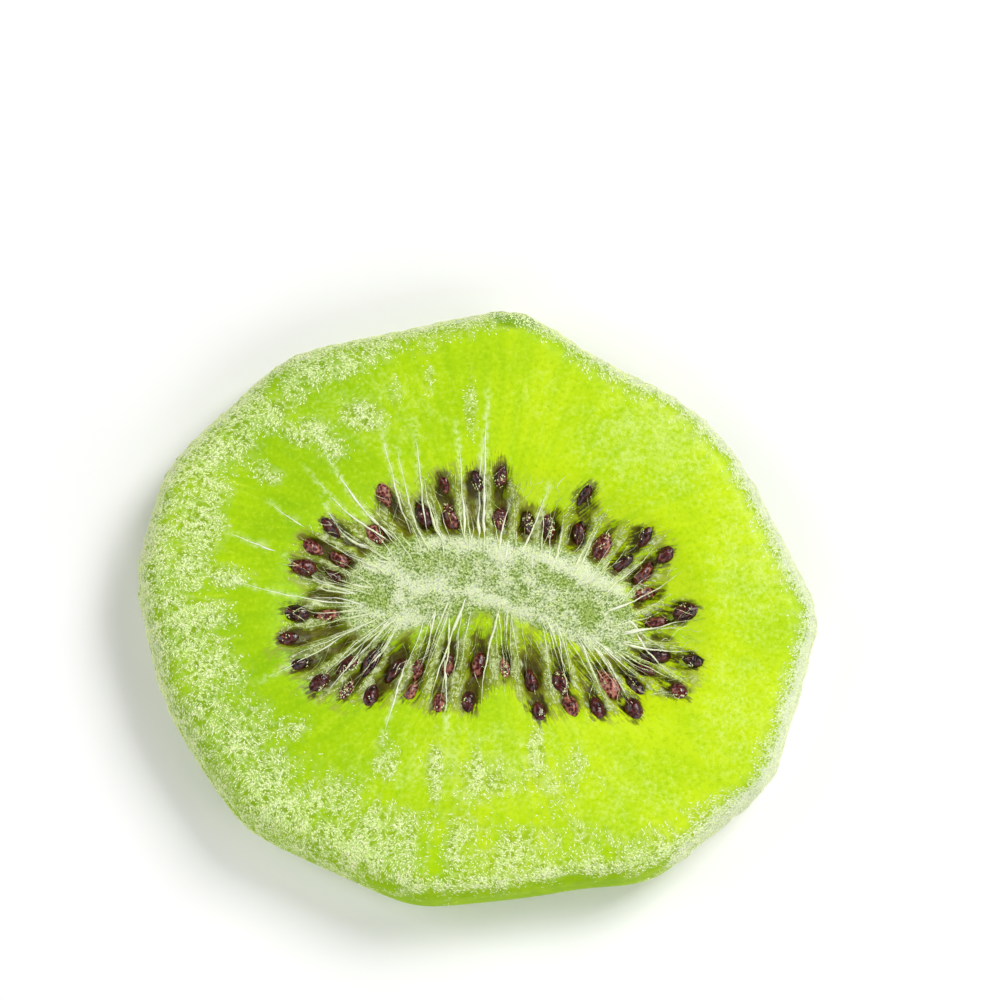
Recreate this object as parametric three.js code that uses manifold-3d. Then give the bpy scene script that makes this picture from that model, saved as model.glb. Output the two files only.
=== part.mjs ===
// A slice of candied kiwi fruit, lying on its back cut face with the cut face that shows on top.
// Millimetres, +Z up. The origin is on the surface the slice lies on, under the middle of the slice.
// +X is the right and +Y the top of the slice, seen from above.
//
// The slice is one solid. Its plan is a core, a ring of seed pockets round the core, and the outer
// flesh. Every point outside the core has a turn (which way from the core, in radians) and a reach
// (how far out from the core's edge, in millimetres).
import * as THREE from "three";
import { mergeVertices } from "three/addons/utils/BufferGeometryUtils.js";
import Module from "manifold-3d";

const TAU = 2 * Math.PI;

// ---- Driving dimensions -------------------------------------------------------------------------

const THICKNESS = 7.2; // from the surface it lies on to the highest part of the flesh

// Where the flat cuts of the peeling knife meet, anticlockwise from the right-hand corner.
const CORNERS = [
  [25.4, -0.9],
  [19.4, 11.4],
  [16.0, 15.1],
  [2.7, 22.4],
  [-14.1, 18.9],
  [-23.1, 10.6],
  [-25.5, 2.3],
  [-23.2, -7.6],
  [-17.2, -16.6],
  [-4.6, -22.4],
  [12.7, -20.6],
  [21.7, -13.3],
];
const CORNER_SHARPNESS = 44; // the higher, the less the corners are rounded off

// Hollows in the outline. Each has a turn and a width in radians, and a depth.
const HOLLOWS = [
  { turn: 1.08, width: 0.23, depth: 0.38 },
  { turn: -1.2, width: 0.14, depth: 0.25 },
];

const RIM_ROUND = { across: 2.0, down: 2.3 }; // the rounded upper edge
const BACK_ROUND = { across: 1.5, down: 1.7 }; // the rounded lower edge
const RIM_BULGE = 0.25; // how far the middle of the rim stands out past both rounded edges

// The core is a bean: a bent, slightly dumb-bell-shaped oval.
const CORE = {
  centre: [1.0, 1.55],
  halfLength: 10.45,
  halfWidth: 2.95, // in the middle of its length
  endSwell: 1.4, // how much wider it grows towards both ends
  slope: -0.0865, // of the middle line, per millimetre
  bend: -0.0245, // of the middle line, per square millimetre
};

const POCKETS = 36; // seed pockets round the core, with a thin wall between each two
const POCKET_REACH = 6.6; // where the pockets end, out from the core's edge
const POCKET_SHIFT = 0.22; // how unevenly the walls stand, as a share of a pocket

const ROLL = 0.3; // how much lower the flesh of the shown face is in its hollows than on its crests

// How far the parts of each cut face lie below the level of its flesh.
const SHOWN_FACE = { core: 0.85, coreDome: 0.35, pocket: 1.15, wallStands: 0.65 };
const BACK_FACE = { core: 0.45, coreDome: 0.1, pocket: 0.75, wallStands: 0.5 };

const SEED = { length: 2.35, width: 1.38, thick: 1.1 };
const SEED_STANDS = 0.12; // how far the middle of a seed stands out of its pocket's surface
const SEED_BELOW_FLESH = 0.05;
const INNER_ROW = 1.9; // middle of a seed, out from the core's edge
const OUTER_ROW = 4.4;
const LOWER_ROWS_FURTHER = 0.8; // below the core both rows lie further out
// One letter for each pocket, anticlockwise from the right: an inner seed, an outer one, both or none.
const SHOWN_SEEDS = "bibbibiibobioiobb-boobbbbbbibbobibb-";
const BACK_SEEDS = "i-oi-io-i-oi-o-io-i-oi-io-i-o-oi-io-";
const RANDOM_SEED = 20417;

// ---- Helpers ------------------------------------------------------------------------------------

const mix = (a, b, share) => a + (b - a) * share;

function ease(from, to, value) {
  const share = Math.min(1, Math.max(0, (value - from) / (to - from)));
  return share * share * (3 - 2 * share);
}

// A repeatable row of numbers from 0 to 1.
function drawer(start) {
  let state = start >>> 0;
  return () => {
    state = (Math.imul(state, 1664525) + 1013904223) >>> 0;
    return state / 4294967296;
  };
}

// ---- The plan -----------------------------------------------------------------------------------

// Each knife cut is a flat facet with a direction and a distance from the slice's middle.
const facets = CORNERS.map(([x, y], i) => {
  const [nextX, nextY] = CORNERS[(i + 1) % CORNERS.length];
  const length = Math.hypot(nextX - x, nextY - y);
  const outward = [(nextY - y) / length, (x - nextX) / length];
  return { outward, distance: x * outward[0] + y * outward[1] };
});

// The outline's radius is a soft minimum over the facets, so the corners between them are rounded.
function outlineRadius(turn) {
  let sum = 0;
  for (const { outward, distance } of facets) {
    const facing = Math.cos(turn) * outward[0] + Math.sin(turn) * outward[1];
    if (facing > 0) sum += (facing / distance) ** CORNER_SHARPNESS;
  }
  let radius = sum ** (-1 / CORNER_SHARPNESS);
  for (const hollow of HOLLOWS) {
    const away = Math.atan2(Math.sin(turn - hollow.turn), Math.cos(turn - hollow.turn));
    radius -= hollow.depth * Math.exp(-((away / hollow.width) ** 2));
  }
  return radius;
}

// The middle of the outline's box, which becomes the origin.
const middle = (() => {
  const steps = 720;
  const xs = [];
  const ys = [];
  for (let i = 0; i < steps; i++) {
    const turn = (TAU * i) / steps;
    xs.push(outlineRadius(turn) * Math.cos(turn));
    ys.push(outlineRadius(turn) * Math.sin(turn));
  }
  return [(Math.min(...xs) + Math.max(...xs)) / 2, (Math.min(...ys) + Math.max(...ys)) / 2];
})();

function outlinePoint(turn) {
  const radius = outlineRadius(turn);
  return [radius * Math.cos(turn) - middle[0], radius * Math.sin(turn) - middle[1]];
}

// A point of the core: share 0 is its heart and share 1 its edge.
function corePoint(turn, share) {
  const along = CORE.halfLength * Math.cos(turn);
  const middleLine = CORE.slope * along + CORE.bend * along * along;
  const squareness = Math.sqrt(1 + Math.cos(turn) ** 2);
  const half = (CORE.halfWidth + CORE.endSwell * Math.cos(turn) ** 2) * squareness;
  const up = middleLine + half * Math.sin(turn);
  return [
    CORE.centre[0] + share * along - middle[0],
    CORE.centre[1] + share * up - middle[1],
  ];
}

// The straight line from the core's edge to the outline, and its length.
function spoke(turn) {
  const from = corePoint(turn, 1);
  const to = outlinePoint(turn);
  const length = Math.hypot(to[0] - from[0], to[1] - from[1]);
  const outward = [(to[0] - from[0]) / length, (to[1] - from[1]) / length];
  return { from, outward, length };
}

function pointAt(turn, reach) {
  const { from, outward } = spoke(turn);
  return [from[0] + outward[0] * reach, from[1] + outward[1] * reach];
}

// ---- The relief of the cut faces ----------------------------------------------------------------

// The level of the shown face's flesh rolls gently across the slice.
function fleshLevel(x, y) {
  return THICKNESS - ROLL * (2 - Math.sin(0.15 * x + 1.1) - Math.sin(0.17 * y - 0.7)) / 2;
}

// How far below the flesh the core lies, at a share of the way from its heart to its edge.
const coreDrop = (face, share) => face.core - face.coreDome * (1 - share * share);

// The same for a point outside the core. inPocket is 0 on a wall and 1 mid-pocket.
function drop(face, reach, inPocket) {
  const out = reach / POCKET_REACH;
  const pocket = ease(0, 0.25, out) * (1 - ease(0.4, 1, out));
  const depth = face.pocket - face.wallStands * (1 - inPocket);
  return face.core * (1 - ease(0.1, 0.9, out)) + depth * pocket;
}

// ---- The slice's mesh: rings of points, from the heart of the shown face to that of the back ----

const PER_POCKET = 4; // steps round a fine ring in one pocket: wall, slope, middle, slope
const FINE = POCKETS * PER_POCKET;

const shift = drawer(RANDOM_SEED);
const walls = Array.from({ length: POCKETS }, (_, i) => i + (shift() - 0.5) * POCKET_SHIFT * 2);
walls.push(POCKETS + walls[0]);

// The turn of a share of the way across a pocket.
function pocketTurn(pocket, share) {
  return (TAU * mix(walls[pocket], walls[pocket + 1], share)) / POCKETS;
}

const points = [];
const triangles = [];

// A ring is made of the points that place(turn, inPocket) gives. A coarse one has every other point.
function ring(step, place) {
  const indices = [];
  for (let i = 0; i < FINE; i += step) {
    const share = (i % PER_POCKET) / PER_POCKET;
    const turn = pocketTurn(Math.floor(i / PER_POCKET), share);
    indices.push(points.push(place(turn, 1 - Math.abs(2 * share - 1))) - 1);
  }
  return indices;
}

function fan(ringIndices, heart, facingUp) {
  ringIndices.forEach((a, i) => {
    const b = ringIndices[(i + 1) % ringIndices.length];
    triangles.push(facingUp ? [heart, a, b] : [heart, b, a]);
  });
}

// Joins two rings that have the same number of points, or one twice as many as the other.
function join(inner, outer) {
  const count = Math.min(inner.length, outer.length);
  for (let i = 0; i < count; i++) {
    const next = (i + 1) % count;
    if (inner.length === outer.length) {
      triangles.push([inner[i], outer[i], outer[next]], [inner[i], outer[next], inner[next]]);
    } else if (outer.length > inner.length) {
      const [a, b, c] = [outer[2 * i], outer[2 * i + 1], outer[(2 * i + 2) % outer.length]];
      triangles.push([inner[i], a, b], [inner[i], b, inner[next]], [b, c, inner[next]]);
    } else {
      const [a, b, c] = [inner[2 * i], inner[2 * i + 1], inner[(2 * i + 2) % inner.length]];
      triangles.push([a, outer[i], b], [b, outer[i], outer[next]], [b, outer[next], c]);
    }
  }
}

const CORE_RINGS = [0.4, 0.75]; // shares of the way from the heart to the core's edge
const POCKET_RINGS = [0, 0.9, 2.0, 3.3, 4.7]; // reaches
const FLESH_RINGS = [0, 0.45, 1]; // shares of the way from the pockets' end to the rounded edge
const ROUND_STEPS = 3; // steps round each rounded edge

function faceRings(face, round, level) {
  const core = CORE_RINGS.map((share) =>
    ring(2, (turn) => level(corePoint(turn, share), coreDrop(face, share))),
  );
  const pockets = POCKET_RINGS.map((reach) =>
    ring(1, (turn, inPocket) => level(pointAt(turn, reach), drop(face, reach, inPocket))),
  );
  const flesh = FLESH_RINGS.map((share) =>
    ring(2, (turn) => {
      const end = spoke(turn).length - RIM_BULGE - round.across;
      return level(pointAt(turn, mix(POCKET_REACH, end, share)), 0);
    }),
  );
  return [...core, ...pockets, ...flesh];
}

// The rounded edge, from just past the face to where the rim stands upright.
function edgeRings(round, level) {
  return Array.from({ length: ROUND_STEPS }, (_, i) => {
    const angle = ((i + 1) / ROUND_STEPS) * (Math.PI / 2);
    return ring(2, (turn) => {
      const inset = RIM_BULGE + round.across * (1 - Math.sin(angle));
      return level(pointAt(turn, spoke(turn).length - inset), round.down * (1 - Math.cos(angle)));
    });
  });
}

// A point of each face, given its place in the plan and how far inwards of the flesh's level it lies.
const onShownFace = ([x, y], below) => [x, y, fleshLevel(x, y) - below];
const onBackFace = ([x, y], above) => [x, y, above];
const rimMiddle = ring(2, (turn) => [...outlinePoint(turn), THICKNESS * 0.46]);
const rings = [
  ...faceRings(SHOWN_FACE, RIM_ROUND, onShownFace),
  ...edgeRings(RIM_ROUND, onShownFace),
  rimMiddle,
  ...edgeRings(BACK_ROUND, onBackFace).reverse(),
  ...faceRings(BACK_FACE, BACK_ROUND, onBackFace).reverse(),
];
for (let i = 0; i + 1 < rings.length; i++) join(rings[i], rings[i + 1]);

const heart = corePoint(0, 0);
fan(rings[0], points.push(onShownFace(heart, coreDrop(SHOWN_FACE, 0))) - 1, true);
fan(rings.at(-1), points.push(onBackFace(heart, coreDrop(BACK_FACE, 0))) - 1, false);

// ---- Seeds --------------------------------------------------------------------------------------

// A seed is an egg-shaped grain, half sunk in its pocket, that points away from the core.
function seedGeometry({ middle: [x, y, z], heading, size }) {
  const grain = new THREE.OctahedronGeometry(0.5, 1);
  const position = grain.getAttribute("position");
  for (let i = 0; i < position.count; i++) {
    const narrowing = 1 - 0.35 * position.getX(i);
    position.setY(i, position.getY(i) * narrowing);
    position.setZ(i, position.getZ(i) * narrowing);
  }
  return grain
    .scale(SEED.length * size, SEED.width * size, SEED.thick * size)
    .rotateZ(heading)
    .translate(x, y, z);
}

function seedsOf(pattern, face, level, random) {
  const seeds = [];
  [...pattern].forEach((letter, pocket) => {
    for (const [row, letters] of [[INNER_ROW, "ib"], [OUTER_ROW, "ob"]]) {
      if (!letters.includes(letter)) continue;
      const turn = pocketTurn(pocket, 0.5 + (random() - 0.5) * 0.4);
      const lower = LOWER_ROWS_FURTHER * Math.max(0, -Math.sin(turn));
      const reach = row + lower + (random() - 0.5) * 1.1;
      const size = mix(0.82, 1.12, random());
      const { outward } = spoke(turn);
      const lean = (random() - 0.5) * 0.6;
      const turned = random() < 0.5 ? Math.PI : 0;
      const heading = Math.atan2(outward[1], outward[0]) + lean + turned;
      const highest = (SEED.thick / 2) * size + SEED_BELOW_FLESH; // no seed stands above the flesh
      const below = Math.max(highest, drop(face, reach, 0.7) - SEED_STANDS);
      seeds.push({ middle: level(pointAt(turn, reach), below), heading, size });
    }
  });
  return seeds;
}

const random = drawer(RANDOM_SEED + 1);
const seeds = [
  ...seedsOf(SHOWN_SEEDS, SHOWN_FACE, onShownFace, random),
  ...seedsOf(BACK_SEEDS, BACK_FACE, onBackFace, random),
];

// ---- One solid ----------------------------------------------------------------------------------

const wasm = await Module();
wasm.setup();

function solidOf(geometry) {
  geometry.deleteAttribute("normal");
  geometry.deleteAttribute("uv");
  const merged = mergeVertices(geometry);
  return new wasm.Manifold(
    new wasm.Mesh({
      numProp: 3,
      vertProperties: merged.getAttribute("position").array,
      triVerts: new Uint32Array(merged.index.array),
    }),
  );
}

const sliceGeometry = new THREE.BufferGeometry();
sliceGeometry.setAttribute("position", new THREE.Float32BufferAttribute(points.flat(), 3));
sliceGeometry.setIndex(triangles.flat());

let slice = solidOf(sliceGeometry);
for (const seed of seeds) slice = slice.add(solidOf(seedGeometry(seed)));

// The largest surface is the outside. Any other is a gap shut in where two seeds touch.
const [outside] = slice.decompose().sort((a, b) => b.volume() - a.volume());
const { vertProperties, triVerts } = outside.getMesh();
const geometry = new THREE.BufferGeometry();
geometry.setAttribute("position", new THREE.BufferAttribute(vertProperties, 3));
geometry.setIndex(new THREE.BufferAttribute(triVerts, 1));
geometry.computeVertexNormals();

const flesh = new THREE.MeshStandardMaterial({ color: 0xb2da10, roughness: 0.45, metalness: 0 });
const mesh = new THREE.Mesh(geometry, flesh);
mesh.name = "kiwi_slice";

const group = new THREE.Group();
group.add(mesh);
export default group;
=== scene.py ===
# %% [markdown]
# # A slice of candied kiwi fruit
#
# The real thing starts as a whole fruit. A knife takes the skin off in flat strokes, so the outline
# has nearly straight sides with blunt corners between them. The fruit is cut across, cooked in syrup
# until it is see-through, and dried, and then sugar blooms on it as fine crystals.
#
# The slice lies on its back face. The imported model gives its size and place, and this lesson gives
# it its looks: a fine mesh for the fruit, then seeds, strands and sugar, then light and camera.

import math

import bpy
import numpy as np
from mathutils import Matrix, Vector
from mathutils.bvhtree import BVHTree


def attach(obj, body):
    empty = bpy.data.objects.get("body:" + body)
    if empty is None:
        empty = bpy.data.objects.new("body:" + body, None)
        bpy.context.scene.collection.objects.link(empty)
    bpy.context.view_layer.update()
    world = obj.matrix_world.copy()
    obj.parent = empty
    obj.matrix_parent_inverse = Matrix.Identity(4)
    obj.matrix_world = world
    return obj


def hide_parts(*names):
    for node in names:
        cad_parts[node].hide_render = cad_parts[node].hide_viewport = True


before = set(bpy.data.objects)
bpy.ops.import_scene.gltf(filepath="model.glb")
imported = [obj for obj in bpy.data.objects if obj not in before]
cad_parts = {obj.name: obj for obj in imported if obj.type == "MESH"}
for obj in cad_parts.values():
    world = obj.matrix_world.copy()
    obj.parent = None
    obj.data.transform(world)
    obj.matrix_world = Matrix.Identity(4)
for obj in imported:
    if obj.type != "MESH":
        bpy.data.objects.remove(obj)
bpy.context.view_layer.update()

MM = 0.001  # one millimetre in Blender's metres
TAU = 2 * math.pi
print("packed nodes:", sorted(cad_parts))

# %% [markdown]
# ## Small helpers for node trees
#
# Both materials and Geometry Nodes are trees of nodes. Building them by hand in a script takes three
# steps over and over: add a node, set its options, and fill or link its sockets. One helper does all
# three, and a few more give the commonest nodes a short name.

# %% Node helpers
def set_inputs(tree, node, inputs):
    """Fills or links a node's inputs, each given by its name or number."""
    for socket, value in inputs.items():
        if isinstance(value, bpy.types.NodeSocket):
            tree.links.new(value, node.inputs[socket])
        else:
            node.inputs[socket].default_value = value


def add_node(tree, kind, inputs=None, **options):
    """Adds a node, sets its options, and then its inputs."""
    made = tree.nodes.new(kind)
    for option, value in options.items():
        setattr(made, option, value)
    set_inputs(tree, made, inputs or {})
    return made


NOISE_STEP = (7.3, 3.1, 5.7)  # how far a shift of 1 moves along the noise


def noise(tree, where, scale, detail=3.0, roughness=0.55, shift=0.0):
    """Soft random values from 0 to 1. shift picks another pattern of the same kind."""
    inputs = {0: where, 1: (scale,) * 3, 2: tuple(step * shift for step in NOISE_STEP)}
    moved = add_node(tree, "ShaderNodeVectorMath", inputs, operation="MULTIPLY_ADD").outputs[0]
    inputs = {"Vector": moved, "Scale": 1.0, "Detail": detail, "Roughness": roughness}
    return add_node(tree, "ShaderNodeTexNoise", inputs).outputs["Fac"]


def spread(tree, value, low, high, to_low=0.0, to_high=1.0):
    """Eases value from low..high to to_low..to_high, and holds it there beyond."""
    inputs = {"Value": value, "From Min": low, "From Max": high, "To Min": to_low, "To Max": to_high}
    made = add_node(tree, "ShaderNodeMapRange", inputs, interpolation_type="SMOOTHSTEP")
    return made.outputs["Result"]


def maths(tree, operation, first, second=0.0):
    """A sum, product or other result of two numbers."""
    inputs = {0: first, 1: second}
    return add_node(tree, "ShaderNodeMath", inputs, operation=operation).outputs[0]


def vector_maths(tree, operation, first, second):
    """The same for two vectors."""
    return add_node(tree, "ShaderNodeVectorMath", {0: first, 1: second}, operation=operation).outputs[0]


def scaled(tree, vector, factor):
    """A vector made factor times as long."""
    inputs = {0: vector, "Scale": factor}
    return add_node(tree, "ShaderNodeVectorMath", inputs, operation="SCALE").outputs[0]


def parts_of(tree, vector):
    """The X, Y and Z of a vector."""
    return add_node(tree, "ShaderNodeSeparateXYZ", {0: vector}).outputs


def joined(tree, x, y, z):
    """A vector from its three parts."""
    return add_node(tree, "ShaderNodeCombineXYZ", {"X": x, "Y": y, "Z": z}).outputs[0]


def blend(tree, share, first, second):
    """A colour between first (share 0) and second (share 1)."""
    inputs = {0: share, 6: first, 7: second}
    return add_node(tree, "ShaderNodeMix", inputs, data_type="RGBA").outputs[2]


def ramp(tree, value, stops):
    """A colour ramp. stops is a list of (place from 0 to 1, colour)."""
    made = add_node(tree, "ShaderNodeValToRGB", {"Fac": value})
    elements = made.color_ramp.elements
    while len(elements) < len(stops):
        elements.new(0.5)
    for element, (place, colour) in zip(elements, stops):
        element.position = place
        element.color = colour
    return made.outputs["Color"]


def rgb(red, green, blue):
    """A colour as a screen shows it, 0 to 255, turned into the linear values that Blender takes."""
    return (*(((c / 255 + 0.055) / 1.055) ** 2.4 if c > 10 else c / 3295 for c in (red, green, blue)), 1)


# %% [markdown]
# ## The plan of the slice
#
# Every point of a cut face has a *turn*, which way it lies from the core, and a *reach*, how far out
# from the core's edge it is in millimetres. Fibres, seed pockets and the grain of the flesh all run
# along lines of one turn, so this pair is a better map for the slice than x and y.
#
# The outline is a soft minimum over flat knife cuts: with a high sharpness the nearest cut wins, and
# at a corner two cuts share it and round it off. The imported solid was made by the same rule.

# %% Outline and core
CORNERS = np.array(
    [
        [25.4, -0.9],
        [19.4, 11.4],
        [16.0, 15.1],
        [2.7, 22.4],
        [-14.1, 18.9],
        [-23.1, 10.6],
        [-25.5, 2.3],
        [-23.2, -7.6],
        [-17.2, -16.6],
        [-4.6, -22.4],
        [12.7, -20.6],
        [21.7, -13.3],
    ]
)
CORNER_SHARPNESS = 44
HOLLOWS = [(1.08, 0.23, 0.38), (-1.2, 0.14, 0.25)]  # turn, width and depth

sides = np.roll(CORNERS, -1, axis=0) - CORNERS
cut_outward = np.stack([sides[:, 1], -sides[:, 0]], 1) / np.linalg.norm(sides, axis=1)[:, None]
cut_distance = (CORNERS * cut_outward).sum(1)


def outline_radius(turn):
    """How far the outline is from the origin at each turn."""
    facing = np.stack([np.cos(turn), np.sin(turn)], -1) @ cut_outward.T
    pull = np.clip(facing / cut_distance, 0, None) ** CORNER_SHARPNESS
    radius = pull.sum(-1) ** (-1 / CORNER_SHARPNESS)
    for place, width, depth in HOLLOWS:
        away = np.arctan2(np.sin(turn - place), np.cos(turn - place))
        radius = radius - depth * np.exp(-((away / width) ** 2))
    return radius


def round_the_origin(turn):
    """The outline's point at each turn round the origin."""
    radius = outline_radius(turn)
    return np.stack([radius * np.cos(turn), radius * np.sin(turn)], -1)


OUTLINE_STEPS = 720
outline = round_the_origin(np.arange(OUTLINE_STEPS) * TAU / OUTLINE_STEPS)
MIDDLE = (outline.min(0) + outline.max(0)) / 2

CORE_CENTRE = np.array([1.0, 1.55])
CORE_HALF_LENGTH = 10.45
CORE_HALF_WIDTH = 2.95
CORE_END_SWELL = 1.4
CORE_SLOPE = -0.0865  # how much its middle line falls for each mm to the right
CORE_BEND = -0.0245


def core_point(turn, share):
    """A point of the bean-shaped core: share 0 is its heart and share 1 its edge."""
    along = CORE_HALF_LENGTH * np.cos(turn)
    middle_line = CORE_SLOPE * along + CORE_BEND * along**2
    half = (CORE_HALF_WIDTH + CORE_END_SWELL * np.cos(turn) ** 2) * np.sqrt(1 + np.cos(turn) ** 2)
    offset = np.stack([along, middle_line + half * np.sin(turn)], -1)
    return CORE_CENTRE - MIDDLE + np.asarray(share)[..., None] * offset


def spoke(turn):
    """The straight line from the core's edge to the outline: its start, direction and length."""
    start = core_point(turn, np.ones_like(turn))
    run = round_the_origin(turn) - MIDDLE - start
    length = np.linalg.norm(run, axis=-1)
    return start, run / length[..., None], length


def plan_point(turn, reach):
    """A point of the plan, given by its turn and its reach."""
    start, direction, _ = spoke(turn)
    return start + direction * np.asarray(reach)[..., None]


print("outline in mm:", np.round(outline.max(0) - outline.min(0), 2), "middle:", np.round(MIDDLE, 3))

# %% [markdown]
# ## Seed pockets
#
# A kiwi has a ring of narrow pockets round its core, with a thin wall between each two, and each
# pocket holds a seed near the core, one further out, both or none. A string with one letter for each
# pocket says which: i for an inner seed, o for an outer one, b for both, and a dash for none.
#
# The draws are from a small counter that always gives the same row of numbers, so that the pockets
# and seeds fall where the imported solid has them. Only the seeds below the core lie up to 0.9 mm
# further out here than in the solid.

# %% Pockets and their walls
POCKETS = 36
POCKET_SHIFT = 0.22
SHOWN_SEEDS = "bibbibiibobioiobb-boobbbbbbibbobibb-"
BACK_SEEDS = "i-oi-io-i-oi-o-io-i-oi-io-i-o-oi-io-"
RANDOM_SEED = 20417


def drawer(start):
    """A repeatable row of numbers from 0 to 1."""
    state = start
    while True:
        state = (state * 1664525 + 1013904223) % 2**32
        yield state / 2**32


draw = drawer(RANDOM_SEED)
walls = [pocket + (next(draw) - 0.5) * POCKET_SHIFT * 2 for pocket in range(POCKETS)]
walls = np.array(walls + [POCKETS + walls[0]]) * TAU / POCKETS  # each wall's turn


def pocket_of(turn):
    """Which pocket a turn falls in, and how far across it, from -1 through 0 in its middle to 1."""
    turn = (np.asarray(turn) - walls[0]) % TAU + walls[0]
    pocket = np.clip(np.searchsorted(walls, turn, side="right") - 1, 0, POCKETS - 1)
    share = (turn - walls[pocket]) / (walls[pocket + 1] - walls[pocket])
    return pocket, 2 * share - 1


def wobble(xy, step, phase):
    """Uneven values from -1 to 1 that change smoothly over about step mm."""
    x, y = xy[..., 0] * TAU / step, xy[..., 1] * TAU / step
    slanted = np.sin(x + 2 * np.sin(0.7 * y + phase))
    return (slanted + np.sin(1.3 * y + 2 * np.sin(0.6 * x - phase))) / 2


shown_count = sum({"b": 2, "-": 0}.get(letter, 1) for letter in SHOWN_SEEDS)
print(f"{POCKETS} pockets on each face, {shown_count} seeds in the shown ones")

# %% [markdown]
# ## The relief of a cut face
#
# A drying slice sinks where it holds most water. The core lies lowest, the pockets are hollow, and
# the walls between them stand as thin ridges. Eased steps give each of these a soft shoulder. The
# same relief, shallower, is on the back face, with a flat ring round it that the slice rests on.

# %% Levels of the two faces
THICKNESS = 7.2
ROLL = 0.3  # mm to each side of the flesh's middle height
ROLL_WAVES = [(0.15, 1.1), (0.17, -0.7)]  # along x and y: radians for each mm, and where each starts
ZONE_REACH = 6.6
LOWER_ROWS_FURTHER = 1.7  # below the core the seeds and the zone's end lie further out
RIM_BULGE = 0.25
# Shares of the way from the core's edge to the zone's end, over which the pockets' hollow starts and
# ends, and the flesh rises from the core's level.
HOLLOW_STARTS = (0, 0.25)
HOLLOW_ENDS = (0.4, 1)
FLESH_RISES = (0.1, 0.9)
# In mm: how deep the core lies and how much its heart rises again, how deep the pockets are and how
# high their walls stand in them, and how far the rounded edge goes across and down. The last is the
# share of the shown face's sugar that the face has.
FACES = {
    "shown": {
        "core": 0.85,
        "dome": 0.35,
        "pocket": 1.15,
        "wall": 0.65,
        "across": 2.0,
        "down": 2.3,
        "sugared": 1.0,
    },
    "back": {
        "core": 0.45,
        "dome": 0.1,
        "pocket": 0.75,
        "wall": 0.5,
        "across": 1.5,
        "down": 1.7,
        "sugared": 0.5,
    },
}


def ease(low, high, value):
    """0 up to low, 1 from high on, and a smooth rise between them."""
    share = np.clip((value - low) / (high - low), 0, 1)
    return share * share * (3 - 2 * share)


def flesh_level(xy):
    """The shown face's flesh rolls gently across the slice."""
    waves = sum(np.sin(step * xy[..., axis] + start) for axis, (step, start) in enumerate(ROLL_WAVES))
    return THICKNESS - ROLL * (2 - waves) / 2


def placed(name, xy, inwards):
    """A point of a face, given its place in the plan and how far inwards of the flesh it lies."""
    height = flesh_level(xy) - inwards if name == "shown" else inwards
    return np.concatenate([xy, height[..., None]], -1)


def lower_side(turn):
    """1 straight below the core, falling to 0 at its two ends and above it."""
    return np.clip(-np.sin(turn), 0, 1)


def relief(name, turn, reach, in_pocket):
    """How far inwards of the flesh a point outside the core lies."""
    face = FACES[name]
    out = reach / (ZONE_REACH + LOWER_ROWS_FURTHER * lower_side(turn))
    zone = ease(*HOLLOW_STARTS, out) * (1 - ease(*HOLLOW_ENDS, out))
    pocket = face["pocket"] - face["wall"] * (1 - in_pocket)
    return face["core"] * (1 - ease(*FLESH_RISES, out)) + pocket * zone


for name, face in FACES.items():
    print(f"{name} face: core {face['core']} mm deep, pockets {face['pocket']} mm deeper than the flesh")

# %% [markdown]
# The seeds could be scattered at random, but then some would lie on the walls. So each is placed by
# its pocket: a share of the way across it, in one of two rows outwards, turned away from the core and
# sunk until it just stands out of the pocket's floor.

# %% Seed places
SEED = {"length": 2.35, "width": 1.38, "thick": 1.1}
SEED_STANDS = 0.12
SEED_BELOW_FLESH = 0.05
SEED_IN_POCKET = 0.7  # how deep in its pocket a seed lies
INNER_ROW = 1.9
OUTER_ROW = 4.4
DRIFT_ACROSS = 0.4  # of the pocket's width, half of it to each side
DRIFT_ALONG = 1.1  # in mm, half of it to each side
LEAN = 0.6  # in radians, half of it to each side
LEAST_SEED = 0.82
SEED_GROWTH = 0.3


def seeds_of(name, pattern, draw):
    """Place, heading and size of each seed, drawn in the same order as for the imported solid."""
    found = []
    for pocket, letter in enumerate(pattern):
        for row, letters in ((INNER_ROW, "ib"), (OUTER_ROW, "ob")):
            if letter not in letters:
                continue
            share = 0.5 + (next(draw) - 0.5) * DRIFT_ACROSS
            turn = walls[pocket] * (1 - share) + walls[pocket + 1] * share
            drift = (next(draw) - 0.5) * DRIFT_ALONG
            reach = row + LOWER_ROWS_FURTHER * float(lower_side(turn)) + drift
            size = LEAST_SEED + SEED_GROWTH * next(draw)
            lean = (next(draw) - 0.5) * LEAN
            turned = math.pi if next(draw) < 0.5 else 0
            direction = spoke(np.array(turn))[1]
            heading = math.atan2(direction[1], direction[0]) + lean + turned
            highest = SEED["thick"] / 2 * size + SEED_BELOW_FLESH
            below = max(highest, relief(name, turn, reach, SEED_IN_POCKET) - SEED_STANDS)
            middle = placed(name, plan_point(np.array(turn), reach), np.array(below))
            seed = {"pocket": pocket, "reach": reach, "middle": middle, "outward": direction}
            found.append({**seed, "heading": heading, "size": size})
    return found


draw = drawer(RANDOM_SEED + 1)
SEEDS = {"shown": seeds_of("shown", SHOWN_SEEDS, draw), "back": seeds_of("back", BACK_SEEDS, draw)}

SHADE_SHIFT = 0.5  # in mm towards the core
SHADE_FADES = (0.8, 1.6)  # from the seed's middle, in half sizes of the seed


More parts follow.
